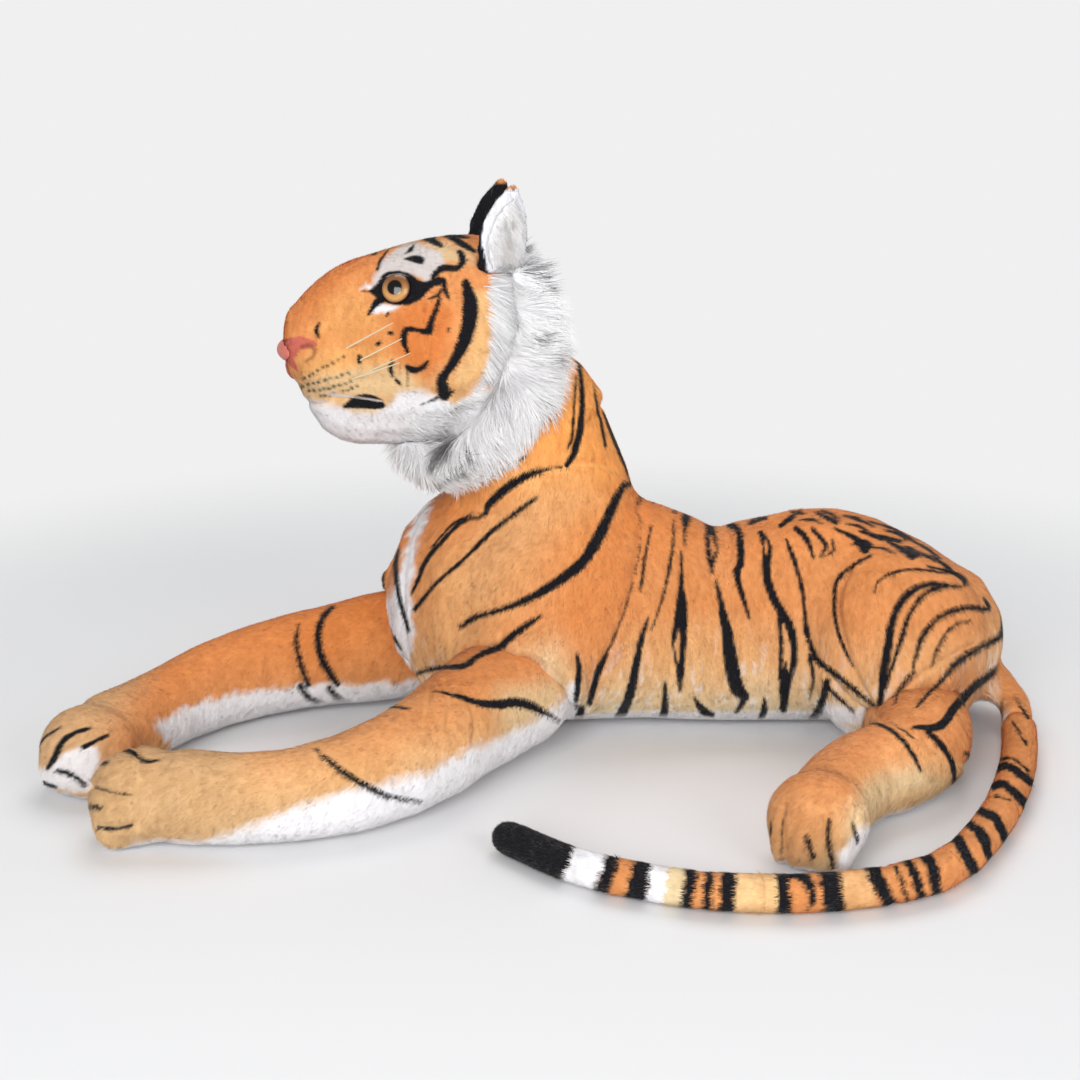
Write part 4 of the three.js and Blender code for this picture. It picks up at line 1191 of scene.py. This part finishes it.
def blades(roots, normals, lay, colours, length, width, lift, bends=1, droop=0.0, clump=0.12, deep=0.92):
    """Tapered blades. A blade leaves its root between the normal and the way that the pile lies, by
    lift, and sinks back by droop times the square of the way along it. Neighbours lean together by
    clump, and deep is how bright a root is: painted shade low in the pile, lightening to the tip.
    Returns points, faces, colours and normals, where the normals stay near the skin's, so that the
    pile takes the light as one soft surface."""
    count = len(roots)
    lay = square_to(normals, lay)
    lay = unit(lay + rng.normal(0, SCATTER, (count, 3)) + wavy(roots, CLUMP_SIZE, 3) * clump)
    lay = square_to(normals, lay)
    roll = rng.uniform(-ROLL, ROLL, (count, 1))
    across = np.cross(lay, normals) * np.cos(roll) + normals * np.sin(roll)
    length = length * rng.uniform(*LENGTHS, count)
    lift = lift * rng.uniform(*LIFTS, count)
    flat = np.sqrt(np.maximum(1 - lift**2, 0.1))
    pairs, shades = [], []
    for step in range(bends + 1):
        t = step / bends
        rise = length * (lift * t - droop * t * t) - ROOT_DEPTH * (1 - t)
        middle = roots + lay * (length * flat * t)[:, None] + normals * rise[:, None]
        half = across * width * (1 - (1 - TIP_SHARE) * t) / 2
        # darker at the root, lighter at the tip: painted shade low in the pile
        tone = ((deep + (TIP_LIGHT - deep) * t) * colours)[:, None, :]
        if step == bends:
            pairs.append(middle[:, None, :])
            shades.append(tone)
        else:
            pairs.append(np.stack([middle - half, middle + half], 1))
            shades.append(np.repeat(tone, 2, 1))
    points, shades = np.concatenate(pairs, 1), np.concatenate(shades, 1)
    faces = []
    for a in range(0, 2 * bends - 2, 2):
        faces += [(a, a + 1, a + 3), (a, a + 3, a + 2)]
    faces.append((2 * bends - 2, 2 * bends - 1, 2 * bends))
    each = points.shape[1]
    faces = (np.array(faces)[None] + (np.arange(count) * each)[:, None, None]).reshape(-1, 3)
    nap = wavy(roots * NAP_STRETCH, NAP_SIZE, 3) * NAP + rng.normal(0, NAP_GRAIN, (count, 3))
    return points.reshape(-1, 3), faces, shades.reshape(-1, 3), np.repeat(unit(normals + nap), each, axis=0)


def coat_density(points, normals):
    """Blades a square metre: fewer on the side away from the camera and on the floor."""
    far = 1 - smooth(*FAR_TURNS, faces_camera(points, normals))
    floor = 1 - smooth(0.0, FLOOR_REACH, points[:, 2])
    return PILE_DENSITY * (1 - far * (1 - FAR_SHARE)) * (1 - FLOOR_BARE * floor)


def pile_pieces(
    name, skin, coat, lay, material, hold, density=coat_density, length=PILE_LENGTH, width=PILE_WIDTH,
    lift=PILE_LIFT, bends=1, **shape
):
    """Covers a skin with pile, in pieces of so many blades that a piece stays small. lay is the way
    that the pile lies, for all points or as a function of them. hold is called with each piece."""
    roots, normals = sown(skin, density)
    keep = roots[:, 2] > ROOT_HEIGHT
    roots, normals = roots[keep], normals[keep]
    lengths = length(roots) if callable(length) else np.full(len(roots), length)
    colours = coat(roots, normals) * rng.normal(1, TONE_GRAIN, (len(roots), 1))
    most = BLADES_TO_A_PIECE // (2 * bends - 1)
    groups = np.array_split(np.argsort(roots[:, 0]), max(1, math.ceil(len(roots) / most)))
    for number, group in enumerate(groups, 1):
        at = roots[group]
        way = lay(at) if callable(lay) else np.tile(lay, (len(at), 1))
        points, faces, shades, ways = blades(
            at, normals[group], way, colours[group], lengths[group], width, lift, bends, **shape
        )
        piece = mesh_object(f"{name}_{number}", above_floor(points), faces)
        coloured(piece, shades)
        piece.data.normals_split_custom_set_from_vertices(ways)
        piece.data.materials.append(material)
        hold(piece)


# Materials


def node_in(tree, kind, inputs=(), **settings):
    """A new node with its settings. Each of its inputs that are given holds a value or a link."""
    node = tree.nodes.new(kind)
    for name, value in settings.items():
        setattr(node, name, value)
    for socket, value in dict(inputs).items():
        if isinstance(value, bpy.types.NodeSocket):
            tree.links.new(value, node.inputs[socket])
        else:
            node.inputs[socket].default_value = value
    return node


def shader_of(name, roughness, **settings):
    """A new material, its node tree and its Principled shader."""
    material = bpy.data.materials.new(name)
    material.use_nodes = True
    shader = material.node_tree.nodes["Principled BSDF"]
    shader.inputs["Roughness"].default_value = roughness
    for socket, value in settings.items():
        shader.inputs[socket.replace("_", " ")].default_value = value
    return material, material.node_tree, shader


def grain_group():
    """Fine uneven grain on Object coordinates: a tint round 1 and a height."""
    group = bpy.data.node_groups.new("Fine grain", "ShaderNodeTree")
    face = group.interface
    for name, start in (("Size", 0.001), ("Amount", 0.2)):
        face.new_socket(name, in_out="INPUT", socket_type="NodeSocketFloat").default_value = start
    for name in ("Tint", "Height"):
        face.new_socket(name, in_out="OUTPUT", socket_type="NodeSocketFloat")
    enter, leave = group.nodes.new("NodeGroupInput"), group.nodes.new("NodeGroupOutput")
    place = node_in(group, "ShaderNodeTexCoord")
    scale = node_in(group, "ShaderNodeMath", {0: 1, 1: enter.outputs["Size"]}, operation="DIVIDE")
    grain = {"Vector": place.outputs["Object"], "Scale": scale.outputs[0], "Detail": 3}
    noise = node_in(group, "ShaderNodeTexNoise", grain)
    shift = node_in(group, "ShaderNodeMath", {0: noise.outputs["Fac"], 1: 0.5}, operation="SUBTRACT")
    round_one = {0: shift.outputs[0], 1: enter.outputs["Amount"], 2: 1}
    tint = node_in(group, "ShaderNodeMath", round_one, operation="MULTIPLY_ADD")
    group.links.new(tint.outputs[0], leave.inputs["Tint"])
    group.links.new(noise.outputs["Fac"], leave.inputs["Height"])
    return group


GRAIN = grain_group()


def multiplied(tree, factor, first, second):
    """The product of two colours, by factor, as a link."""
    inputs = {"Factor": factor, 6: first, 7: second}
    return node_in(tree, "ShaderNodeMix", inputs, data_type="RGBA", blend_type="MULTIPLY").outputs[2]


def grained(tree, shader, colour, size, amount, bump):
    """Multiplies a colour by the grain's tint, and raises the surface by its height."""
    grain = node_in(tree, "ShaderNodeGroup", {"Size": size, "Amount": amount}, node_tree=GRAIN)
    tree.links.new(multiplied(tree, 1, colour, grain.outputs["Tint"]), shader.inputs["Base Color"])
    height = {"Strength": 1, "Distance": bump, "Height": grain.outputs["Height"]}
    tree.links.new(node_in(tree, "ShaderNodeBump", height).outputs["Normal"], shader.inputs["Normal"])


def kept_at_vertices(tree, name):
    """A node that gives what is kept at each vertex under a name."""
    return node_in(tree, "ShaderNodeAttribute", attribute_name=name).outputs["Fac"]


def coat_colour(tree):
    """A node that gives the colour kept at each vertex."""
    return node_in(tree, "ShaderNodeVertexColor", layer_name="Coat").outputs["Color"]


def plush_backing():
    """The cloth between the blades: the coat's colours, a little darker as painted shade under the pile, with
    a fine nap.
    """
    material, tree, shader = shader_of("plush backing", 0.95, Specular_IOR_Level=0.15)
    grained(tree, shader, coat_colour(tree), 0.9 * MM, 0.25, 0.12 * MM)
    return material


def pile_finish(name, roughness):
    """The blades: the colour kept along each one."""
    material, tree, shader = shader_of(
        name, roughness, Specular_IOR_Level=0.2, Sheen_Weight=0.12, Sheen_Roughness=0.6
    )
    tree.links.new(coat_colour(tree), shader.inputs["Base Color"])
    return material


def nose_velour():
    """Short pink velour, finely grained."""
    material, tree, shader = shader_of("nose velour", 0.75, Sheen_Weight=0.2)
    grained(tree, shader, coat_colour(tree), 0.6 * MM, 0.35, 0.25 * MM)
    return material


def moulded(name, colour, roughness, size, amount):
    """Moulded plastic or nylon with a faint grain."""
    material, tree, shader = shader_of(name, roughness)
    plain = node_in(tree, "ShaderNodeRGB").outputs[0]
    plain.default_value = opaque(colour)
    grained(tree, shader, plain, size, amount, 0.02 * MM)
    return material


# The eye's rings: shares of its radius, and their colours
PUPIL, LIMBUS = (0.0, (10, 9, 12)), (0.97, (14, 12, 14))
IRIS = (
    (0.44, (12, 10, 12)), (0.475, (96, 60, 34)), (0.53, (196, 144, 86)), (0.72, (214, 160, 96)),
    (0.86, (186, 132, 80)), (0.93, (120, 78, 48)),
)
LID_SHADE = (0.36, 0.27, 0.25, 1)  # what the lid's shadow multiplies the eye's colour by


def eye_finish():
    """Glossy painted eye: the ring's colour by the share of its radius, kept at each vertex."""
    material, tree, shader = shader_of(
        "eye", 0.12, Specular_IOR_Level=0.3, Coat_Weight=0.4, Coat_Roughness=0.02
    )
    ramp = node_in(tree, "ShaderNodeValToRGB", {"Fac": kept_at_vertices(tree, "Share")})
    rings = ramp.color_ramp.elements
    for ring, (position, colour) in zip(rings, (PUPIL, LIMBUS)):
        ring.position, ring.color = position, opaque(colour)
    for position, colour in IRIS:
        rings.new(position).color = opaque(colour)
    shaded = multiplied(tree, kept_at_vertices(tree, "Lid"), ramp.outputs["Color"], LID_SHADE)
    grained(tree, shader, shaded, 0.5 * MM, 0.25, 0.005 * MM)
    return material


BACKING = plush_backing()
PILE = pile_finish("plush pile", 0.85)
LONG_PILE = pile_finish("long pile", 0.7)


# Pieces

SIDES = ("left", "right")


def side_of(word):
    """-1 for the toy's left side, which faces the camera, and 1 for its right."""
    return -1 if word == "left" else 1


def riding(body):
    """What ties a piece to one body."""
    return lambda piece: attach(piece, body)


def blending(first, second, start, end):
    """What keeps a piece where it stands, with its place made part of its mesh. It bends nothing, and first,
    second, start and end are not used.
    """
    return lambda piece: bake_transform(piece)


# The skins: how wide their squares are, and how many rounds smooth them
BODY_SKIN = (5 * MM, 14)
LEG_SKIN = (4.2 * MM, 10)
HEAD_SKIN = (3.3 * MM, 7)
TAIL_SKIN = (2.6 * MM, 14)
NOSE_SKIN = (1.3 * MM, 6)
EAR_SKIN = (1.8 * MM, 8)
LINING_SKIN = (1.5 * MM, 5)
RUFF_SKIN = (3 * MM, 8)


def skin_of(name, nodes, kind):
    """One even skin round some nodes."""
    size, rounds = kind
    return relaxed(remeshed(gathered(name, *nodes), size), rounds)


def finished(piece, material):
    """Gives a piece this finish alone."""
    piece.data.materials.clear()
    piece.data.materials.append(material)


def dressed(skin, coat, material, nodes, hold):
    """Colours a skin, gives it its finish, hides the nodes that it stands for, and hands it to hold."""
    # the skin takes the coat a little darker: painted shade under the pile
    coloured(skin, coat(points_of(skin), normals_of(skin)) * BACKING_SHADE)
    finished(skin, material)
    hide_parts(*nodes)
    hold(skin)


BODY_FILLET = 8 * MM
BODY_GIVE = 5 * MM  # how far stuffing may move the body's skin
PILE_ROOM = 1 * MM  # how far the skin stands back for its pile
ROOT_FILLET = 20 * MM  # how far the body swells where a leg comes out of it
ROOT_TURN = (-0.3, 0.1)  # the cosines to the camera between which it swells more and more
FAR_ROOT = 0.4  # from this share
NECK_COLLAR = 8 * MM  # how far the neck swells under the head
COLLAR_REACH = 0.1  # how near to the head's pivot
COLLAR_FOOT = (0.27, 0.31)  # the heights at which it begins
COLLAR_TOP = (0.34, 0.365)  # and ends
NECK_BEND = (0.262, 0.345)  # the heights given to blending for the neck, which it does not use


def body_lay(p):
    """The body's pile lies down, forward on the chest and backward behind it."""
    sweep = 0.2 * smooth(0.1, 0.3, p[:, 0]) - 0.5 * (1 - smooth(-0.02, 0.12, p[:, 0]))
    return np.stack([sweep + 0.12, 0 * sweep, 0 * sweep - 1], 1)


def body_piece():
    """Body, neck, shoulders and haunches: one skin that ends in the neck."""
    nodes = ["torso", "belly_panel", "neck", "tail_base"]
    nodes += [f"{word}_{part}" for word in SIDES for part in ("shoulder", "haunch")]
    skin = rump_filled(skin_of("body_skin", nodes, BODY_SKIN))
    filleted(skin, BODY_FILLET, BODY_SKIN[0])
    filled_out(swollen(skin, -PILE_ROOM), BODY_GIVE)
    points = points_of(skin)
    reach = np.linalg.norm(points[:, :2] - HEAD_PIVOT[:2], axis=1)
    collar = smooth(*COLLAR_FOOT, points[:, 2]) * (1 - smooth(*COLLAR_TOP, points[:, 2]))
    swollen(skin, NECK_COLLAR * collar * (reach < COLLAR_REACH))
    normals = normals_of(skin)
    at = pixels_of(BODY_FOLD.seen(points, normals))
    root = np.max([bell(at, stroke_points(text)) for text in LEG_ROOTS], axis=0)
    near = smooth(*ROOT_TURN, faces_camera(points, normals))
    relaxed(swollen(skin, ROOT_FILLET * root * (FAR_ROOT + (1 - FAR_ROOT) * near)), 3)
    relaxed(divided(skin), 2)
    on_floor(creased(skin, BODY_FOLD, BODY_CREASES))
    low, high = ((HEAD_PIVOT[0], HEAD_PIVOT[1], height) for height in NECK_BEND)
    hold = blending("body", "head", low, high)
    dressed(skin, body_coat, BACKING, nodes, hold)
    pile_pieces("body_pile", skin, body_coat, body_lay, PILE, hold)


LEG_FILLET = 10 * MM
LEG_GIVE = 3.5 * MM
LEG_COLLAR = 2.5 * MM
LEG_COLLAR_REACH = (0.05, 0.1)  # how far from the joint the collar starts to ease out, and ends


def limb_piece(body, paw, joint, coat, lay, creases, fold):
    """A leg with its paw. A collar round its root fills the room that the leg swings in."""
    skin = skin_of(f"{body}_skin", [body, paw], LEG_SKIN)
    filleted(skin, LEG_FILLET, LEG_SKIN[0])
    filled_out(swollen(skin, -PILE_ROOM), LEG_GIVE)
    gap = np.linalg.norm(points_of(skin)[:, :2] - joint_place(joint)[:2], axis=1)
    swollen(skin, LEG_COLLAR * (1 - smooth(*LEG_COLLAR_REACH, gap)))
    relaxed(divided(skin), 1)
    on_floor(creased(skin, fold, creases))
    dressed(skin, coat, BACKING, [body, paw], riding(body))
    pile_pieces(f"{body}_pile", skin, coat, lay, PILE, riding(body))


def head_lay(sideways, down):
    """A lay that runs back from the face, out to its sides and down."""
    return lambda p: np.stack(
        [np.full(len(p), 1.0), sideways * np.sign(p[:, 1] - HEAD_PIVOT[1]), np.full(len(p), down)], 1
    )


def denser(share):
    """The coat's density times a share."""
    return lambda points, normals: coat_density(points, normals) * share


def fringe_density(points, normals):
    """The cheek's long hair grows only in its own outline."""
    at = pixels_of(HEAD_FOLD.seen(points, normals))
    return coat_density(points, normals) * 0.5 * filled(at, CHEEK_FRINGE, 3, 0 * at[:, 0])


def head_piece():
    """The head with its chin and whisker pads."""
    nodes = ["head", "chin", "left_whisker_pad", "right_whisker_pad"]
    skin = divided(skin_of("head_skin", nodes, HEAD_SKIN))
    creased(skin, HEAD_FOLD, HEAD_CREASES)
    dressed(skin, head_coat, BACKING, nodes, riding("head"))
    pile_pieces(
        "head_pile", skin, head_coat, head_lay(0.3, -0.35), PILE, riding("head"), density=denser(1.7),
        length=3.4 * MM, width=0.5 * MM, lift=0.28,
    )
    pile_pieces(
        "cheek_fringe", skin, ruff_coat, head_lay(0.6, -0.5), LONG_PILE, riding("head"),
        density=fringe_density, length=RUFF_LENGTH, width=0.6 * MM, lift=0.55, bends=3, droop=0.3, clump=0.8,
        deep=0.97,
    )


TAIL_NAMES = ["tail_1", "tail_2", "tail_3", "tail_4", "tail_tip"]
TAIL_BEND = 14 * MM  # how far to each side of a joint the bend's ends lie, as given to blending, which does not use them
TAIL_TURN = 0.03  # how far behind a joint the pile has turned with it
ON_CUT = 1e-5  # how near to a plane an edge lies on its cut
CUT_REACH = 0.05  # how far a cut may lie from its middle


def axes_of(name):
    """The middle of a node's points, and its directions from the longest to the shortest."""
    points = points_of(NODES[name])
    middle = points.mean(0)
    return middle, np.linalg.svd(points - middle, full_matrices=False)[2]


def along_tail(joint, before, after):
    """The pile lies along the tail, and turns with it at the joint."""

    def lay(p):
        """From the way before the joint to the way after it, by each point's distance behind it."""
        share = np.clip((p - joint) @ after / TAIL_TURN, 0, 1)[:, None]
        return after * share + before * (1 - share)

    return lay


def tail_pieces():
    """The tail's tube, cut half way along each of its pieces, so that each cut lies in one body."""
    tube = skin_of("tail_tube", TAIL_NAMES, TAIL_SKIN)
    joints = [joint_place(f"tail_bend_{number}") for number in range(1, 6)]
    middles, ways = [], []
    for name, joint in zip(TAIL_NAMES, joints):
        middle, directions = axes_of(name)
        middles.append(middle)
        ways.append(directions[0] * np.sign(directions[0] @ (middle - joint)))
    bodies = ["body"] + TAIL_NAMES
    last = len(joints) - 1
    for number, joint in enumerate(joints):
        before = ways[max(number - 1, 0)]
        after = ways[number]
        work = bmesh.new()
        work.from_mesh(tube.data)
        if number > 0:
            cut_off(work, middles[number - 1], -before, joint)
        if number < last:
            cut_off(work, middles[number], after, joint)
        skin = on_floor(built(f"tail_skin_{number + 1}", work))
        reach = unit(after + (before if number else 0)) * TAIL_BEND
        hold = blending(*bodies[number : number + 2], joint - reach, joint + reach)
        dressed(skin, tail_coat, BACKING, [TAIL_NAMES[number]], hold)
        lay = along_tail(joint, before, after)
        pile_pieces(f"tail_pile_{number + 1}", skin, tail_coat, lay, PILE, hold)
    bpy.data.objects.remove(tube)


def cut_off(work, place, way, keep):
    """Cuts a closed mesh by a plane, drops what lies on the far side of keep near the cut, and closes it."""
    parts = work.verts[:] + work.edges[:] + work.faces[:]
    bmesh.ops.bisect_plane(work, geom=parts, dist=1e-6, plane_co=Vector(place), plane_no=Vector(way))
    cut_edges = [
        e for e in work.edges
        if all(abs((np.array(v.co) - place) @ way) < ON_CUT for v in e.verts)
        and np.linalg.norm(np.array(e.verts[0].co) - place) < CUT_REACH
    ]
    bmesh.ops.split_edges(work, edges=cut_edges)
    start = min(work.verts, key=lambda v: np.linalg.norm(np.array(v.co) - keep))
    found, edge = {start}, [start]
    while edge:
        vertex = edge.pop()
        for link in vertex.link_edges:
            other = link.other_vert(vertex)
            if other not in found:
                found.add(other)
                edge.append(other)
    bmesh.ops.delete(work, geom=[v for v in work.verts if v not in found], context="VERTS")
    bmesh.ops.holes_fill(work, edges=[e for e in work.edges if e.is_boundary], sides=0)


def turned(name, foot, axis, profile, sides):
    """A closed surface turned round an axis from its foot. profile is pairs of radius and height from
    the first end to the last, where a radius of 0 closes the end."""
    side = unit(np.cross(axis, [0.0, 0.0, 1.0]))
    up = np.cross(side, axis)
    turn = np.linspace(0, 2 * math.pi, sides, endpoint=False)
    ring = np.cos(turn)[:, None] * side + np.sin(turn)[:, None] * up
    points = [foot + axis * profile[0][1]]
    for radius, height in profile[1:-1]:
        points.extend(foot + axis * height + ring * radius)
    points.append(foot + axis * profile[-1][1])
    work = bmesh.new()
    verts = [work.verts.new(p) for p in points]
    rows = len(profile) - 2
    for i in range(sides):
        j = (i + 1) % sides
        work.faces.new((verts[0], verts[1 + j], verts[1 + i]))
        for row in range(rows - 1):
            a, b = 1 + row * sides, 1 + (row + 1) * sides
            work.faces.new((verts[a + i], verts[a + j], verts[b + j], verts[b + i]))
        a = 1 + (rows - 1) * sides
        work.faces.new((verts[a + i], verts[a + j], verts[-1]))
    bmesh.ops.recalc_face_normals(work, faces=work.faces)
    return built(name, work)


EYE_RADIUS = 13.5 * MM
EYE_HEIGHT = 8.0 * MM
EYE_RIM_HEIGHT = 1 * MM
WASHER_TO_EYE = 2.0 * MM  # from the middle of the washer to the eye's base
EYE_STEPS = 18
EYE_SIDES = 56
EYE_BEVEL = ((1.2 * MM, 0), (0.4 * MM, 0.3 * MM))  # the base's edge: how far in, and how high
LID_HEIGHTS = (-4 * MM, 11 * MM)  # from and to these heights the lid's shadow deepens
POST_RADIUS = 2.5 * MM
POST_LENGTH = 15 * MM


def keep_at_vertices(piece, name, values):
    """Keeps a number for each vertex, which a material reads."""
    layer = piece.data.attributes.new(name, "FLOAT", "POINT")
    layer.data.foreach_set("value", values.astype(np.float32))


def eye_piece(word):
    """A glossy dome whose rim is rounded: radius R cos t and height H sin t, on its own post."""
    middle, directions = axes_of(f"{word}_eye_washer")
    axis = directions[2] * np.sign(directions[2][1] * side_of(word))
    profile = [(0, -POST_LENGTH), (POST_RADIUS, -POST_LENGTH), (POST_RADIUS, 0)]
    profile += [(EYE_RADIUS - inward, height) for inward, height in EYE_BEVEL]
    for step in range(EYE_STEPS + 1):
        angle = math.pi / 2 * step / EYE_STEPS
        height = EYE_RIM_HEIGHT + (EYE_HEIGHT - EYE_RIM_HEIGHT) * math.sin(angle)
        profile.append((EYE_RADIUS * math.cos(angle), height))
    eye = turned(f"{word}_eye_ball", middle + axis * WASHER_TO_EYE, axis, profile, EYE_SIDES)
    points = points_of(eye) - middle
    out = np.linalg.norm(points - (points @ axis)[:, None] * axis, axis=1)
    keep_at_vertices(eye, "Share", out / EYE_RADIUS)
    keep_at_vertices(eye, "Lid", smooth(*LID_HEIGHTS, points[:, 2]))
    eye.data.materials.append(eye_finish())
    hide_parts(f"{word}_eye")
    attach(eye, "head")


def nose_piece():
    """The nose: short velour over a firm shape, with two nostrils pressed in."""
    skin = divided(skin_of("nose_skin", ["nose"], NOSE_SKIN))
    creased(skin, HEAD_FOLD, ((1.6, NOSE_HOLE),))
    dressed(skin, nose_coat, nose_velour(), ["nose"], riding("head"))


def ear_pieces(word):
    """One ear: its back with short pile and its inside with a longer one."""
    body = f"{word}_ear"
    back = skin_of(f"{body}_skin", [f"{word}_ear_back"], EAR_SKIN)
    dressed(back, ear_coat, BACKING, [f"{word}_ear_back"], riding(body))
    pile_pieces(
        f"{body}_pile", back, ear_coat, [0.2, 0.0, 1.0], PILE, riding(body), density=denser(1.3),
        length=3.4 * MM, width=0.7 * MM, lift=0.3,
    )
    inside = skin_of(f"{body}_inside", [f"{word}_ear_lining"], LINING_SKIN)
    dressed(inside, lining_coat, BACKING, [f"{word}_ear_lining"], riding(body))
    pile_pieces(
        f"{body}_fluff", inside, lining_coat, [0.5, -0.2, -0.8], LONG_PILE, riding(body), density=denser(1.3),
        length=8 * MM, width=0.5 * MM, lift=0.3, bends=2, droop=0.1, clump=0.4, deep=0.93,
    )


CHEEK_HEART = (-0.075, 0.05, 0.075)  # from the head's pivot, with the second number to each side
SHORT_LOCK, LOCK_GAIN = 0.55, 0.45  # the share of its length a lock has at the foot, and gains above
LOCK_RISE = 0.06  # how high above the foot the locks are whole


def ruff_pieces(word):
    """One cheek's ruff: a skin with long locks that fan out from the cheek."""
    skin = skin_of(f"{word}_ruff_skin", [f"{word}_ruff"], RUFF_SKIN)
    side = side_of(word)
    heart = HEAD_PIVOT + np.array(CHEEK_HEART) * [1, side, 1]
    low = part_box(f"{word}_ruff")[0][2]

    def lengths(p):
        """The locks are longer higher up."""
        return RUFF_LENGTH * (SHORT_LOCK + LOCK_GAIN * smooth(0.0, LOCK_RISE, p[:, 2] - low))

    def lay(p):
        """Away from the cheek's heart, and down."""
        return unit(p - heart) + np.array([0.6, 0.1 * side, -0.9])

    dressed(skin, ruff_coat, BACKING, [f"{word}_ruff"], riding("head"))
    pile_pieces(
        f"{word}_ruff_locks", skin, ruff_coat, lay, LONG_PILE, riding("head"), density=denser(0.5),
        length=lengths, width=0.75 * MM, lift=0.34, bends=3, droop=0.12, clump=1.0, deep=0.97,
    )


def hard_pieces():
    """Whiskers and washers keep the frame's forms; these give them their finish."""
    nylon = moulded("whisker nylon", NYLON, 0.35, 1.5 * MM, 0.2)
    plastic = moulded("washer plastic", WASHER, 0.45, 0.8 * MM, 0.12)
    for name, node in NODES.items():
        if "whisker_" in name and "pad" not in name:
            finished(node, nylon)
        elif "washer" in name:
            finished(node, plastic)


# The stage

FLOOR_HALF = 9  # half the floor's side
FLOOR_FADE = (0.6, 1.25)  # from and to this distance from the toy's middle
GLOW = 0.38
GLOW_COLOUR = (0.96, 0.98, 1.0, 1)
# The lights: each one's name, place, the point that it looks at, side in metres and power in watts
LIGHTS = (
    ("key", (-0.8, -2.7, 1.35), (0, 0, 0.15), 1.5, 55),
    ("fill", (1.8, -2.5, 1.0), (0, 0, 0.15), 1.8, 37),
    ("top", (0.1, 0.9, 2.4), (0, 0, 0.2), 1.8, 24),
)


def area_light(name, place, target, size, power):
    """A soft square light that looks at a point."""
    data = bpy.data.lights.new(name, "AREA")
    data.shape = "SQUARE"
    data.size, data.energy = size, power
    light = linked(name, data)
    light.location = place
    light.rotation_euler = (Vector(target) - Vector(place)).to_track_quat("-Z", "Y").to_euler()


def floor():
    """A plain pale floor that fades into the backdrop far from the toy."""
    corners = np.array([[-1, -1, 0], [1, -1, 0], [1, 1, 0], [-1, 1, 0]], float) * FLOOR_HALF
    piece = mesh_object("floor", corners, np.array([[0, 1, 2, 3]]))
    material, tree, shader = shader_of("floor", 0.9, Specular_IOR_Level=0.1)
    shader.inputs["Base Color"].default_value = opaque(FLOOR_SHADE)
    place = node_in(tree, "ShaderNodeTexCoord")
    reach = node_in(tree, "ShaderNodeVectorMath", {0: place.outputs["Object"]}, operation="LENGTH")
    start, end = FLOOR_FADE
    ends = {"Value": reach.outputs["Value"], "From Min": start, "From Max": end, "To Min": 1, "To Max": 0}
    fade = node_in(tree, "ShaderNodeMapRange", ends, interpolation_type="SMOOTHSTEP")
    tree.links.new(fade.outputs["Result"], shader.inputs["Alpha"])
    finished(piece, material)


def surroundings():
    """What the camera sees behind the toy is the photograph's pale grey; the light on it is softer."""
    world = bpy.data.worlds.new("studio")
    bpy.context.scene.world = world
    world.use_nodes = True
    tree = world.node_tree
    tree.nodes.clear()
    path = node_in(tree, "ShaderNodeLightPath")
    seen = node_in(tree, "ShaderNodeBackground", {"Color": opaque(BACKDROP)})
    glow = node_in(tree, "ShaderNodeBackground", {"Color": GLOW_COLOUR, "Strength": GLOW})
    either = {0: path.outputs["Is Camera Ray"], 1: glow.outputs[0], 2: seen.outputs[0]}
    choice = node_in(tree, "ShaderNodeMixShader", either)
    node_in(tree, "ShaderNodeOutputWorld", {"Surface": choice.outputs[0]})


def camera():
    """The photograph's camera: a square picture, looking along +Y and a little down."""
    data = bpy.data.cameras.new("camera")
    data.sensor_width = SENSOR
    data.lens = SENSOR * FOCAL_PIXELS / PHOTO_SIDE
    data.clip_start, data.clip_end = 0.05, 40
    eye = linked("camera", data)
    eye.location = CAMERA_PLACE
    eye.rotation_euler = (math.pi / 2 - CAMERA_PITCH, 0, 0)
    bpy.context.scene.camera = eye


def near_leg_coat(points, normals):
    """The left foreleg's colours."""
    return foreleg_coat(points, normals, True)


def far_leg_coat(points, normals):
    """The right foreleg's colours."""
    return foreleg_coat(points, normals, False)


body_piece()
head_piece()
for word, leg_coat in zip(SIDES, (near_leg_coat, far_leg_coat)):
    limb_piece(
        f"{word}_foreleg", f"{word}_forepaw", f"{word}_foreleg_swing", leg_coat, [-0.75, -0.1, -0.6],
        FORELEG_CREASES, fold=None,
    )
    limb_piece(
        f"{word}_hind_leg", f"{word}_hind_paw", f"{word}_hind_swing", hind_coat, [-0.6, -0.1, -0.7],
        HIND_CREASES, fold=HIND_FOLD,
    )
    ear_pieces(word)
    ruff_pieces(word)
    eye_piece(word)
tail_pieces()
nose_piece()
hard_pieces()

floor()
surroundings()
camera()
for light in LIGHTS:
    area_light(*light)
bpy.context.scene.view_settings.view_transform = "Standard"
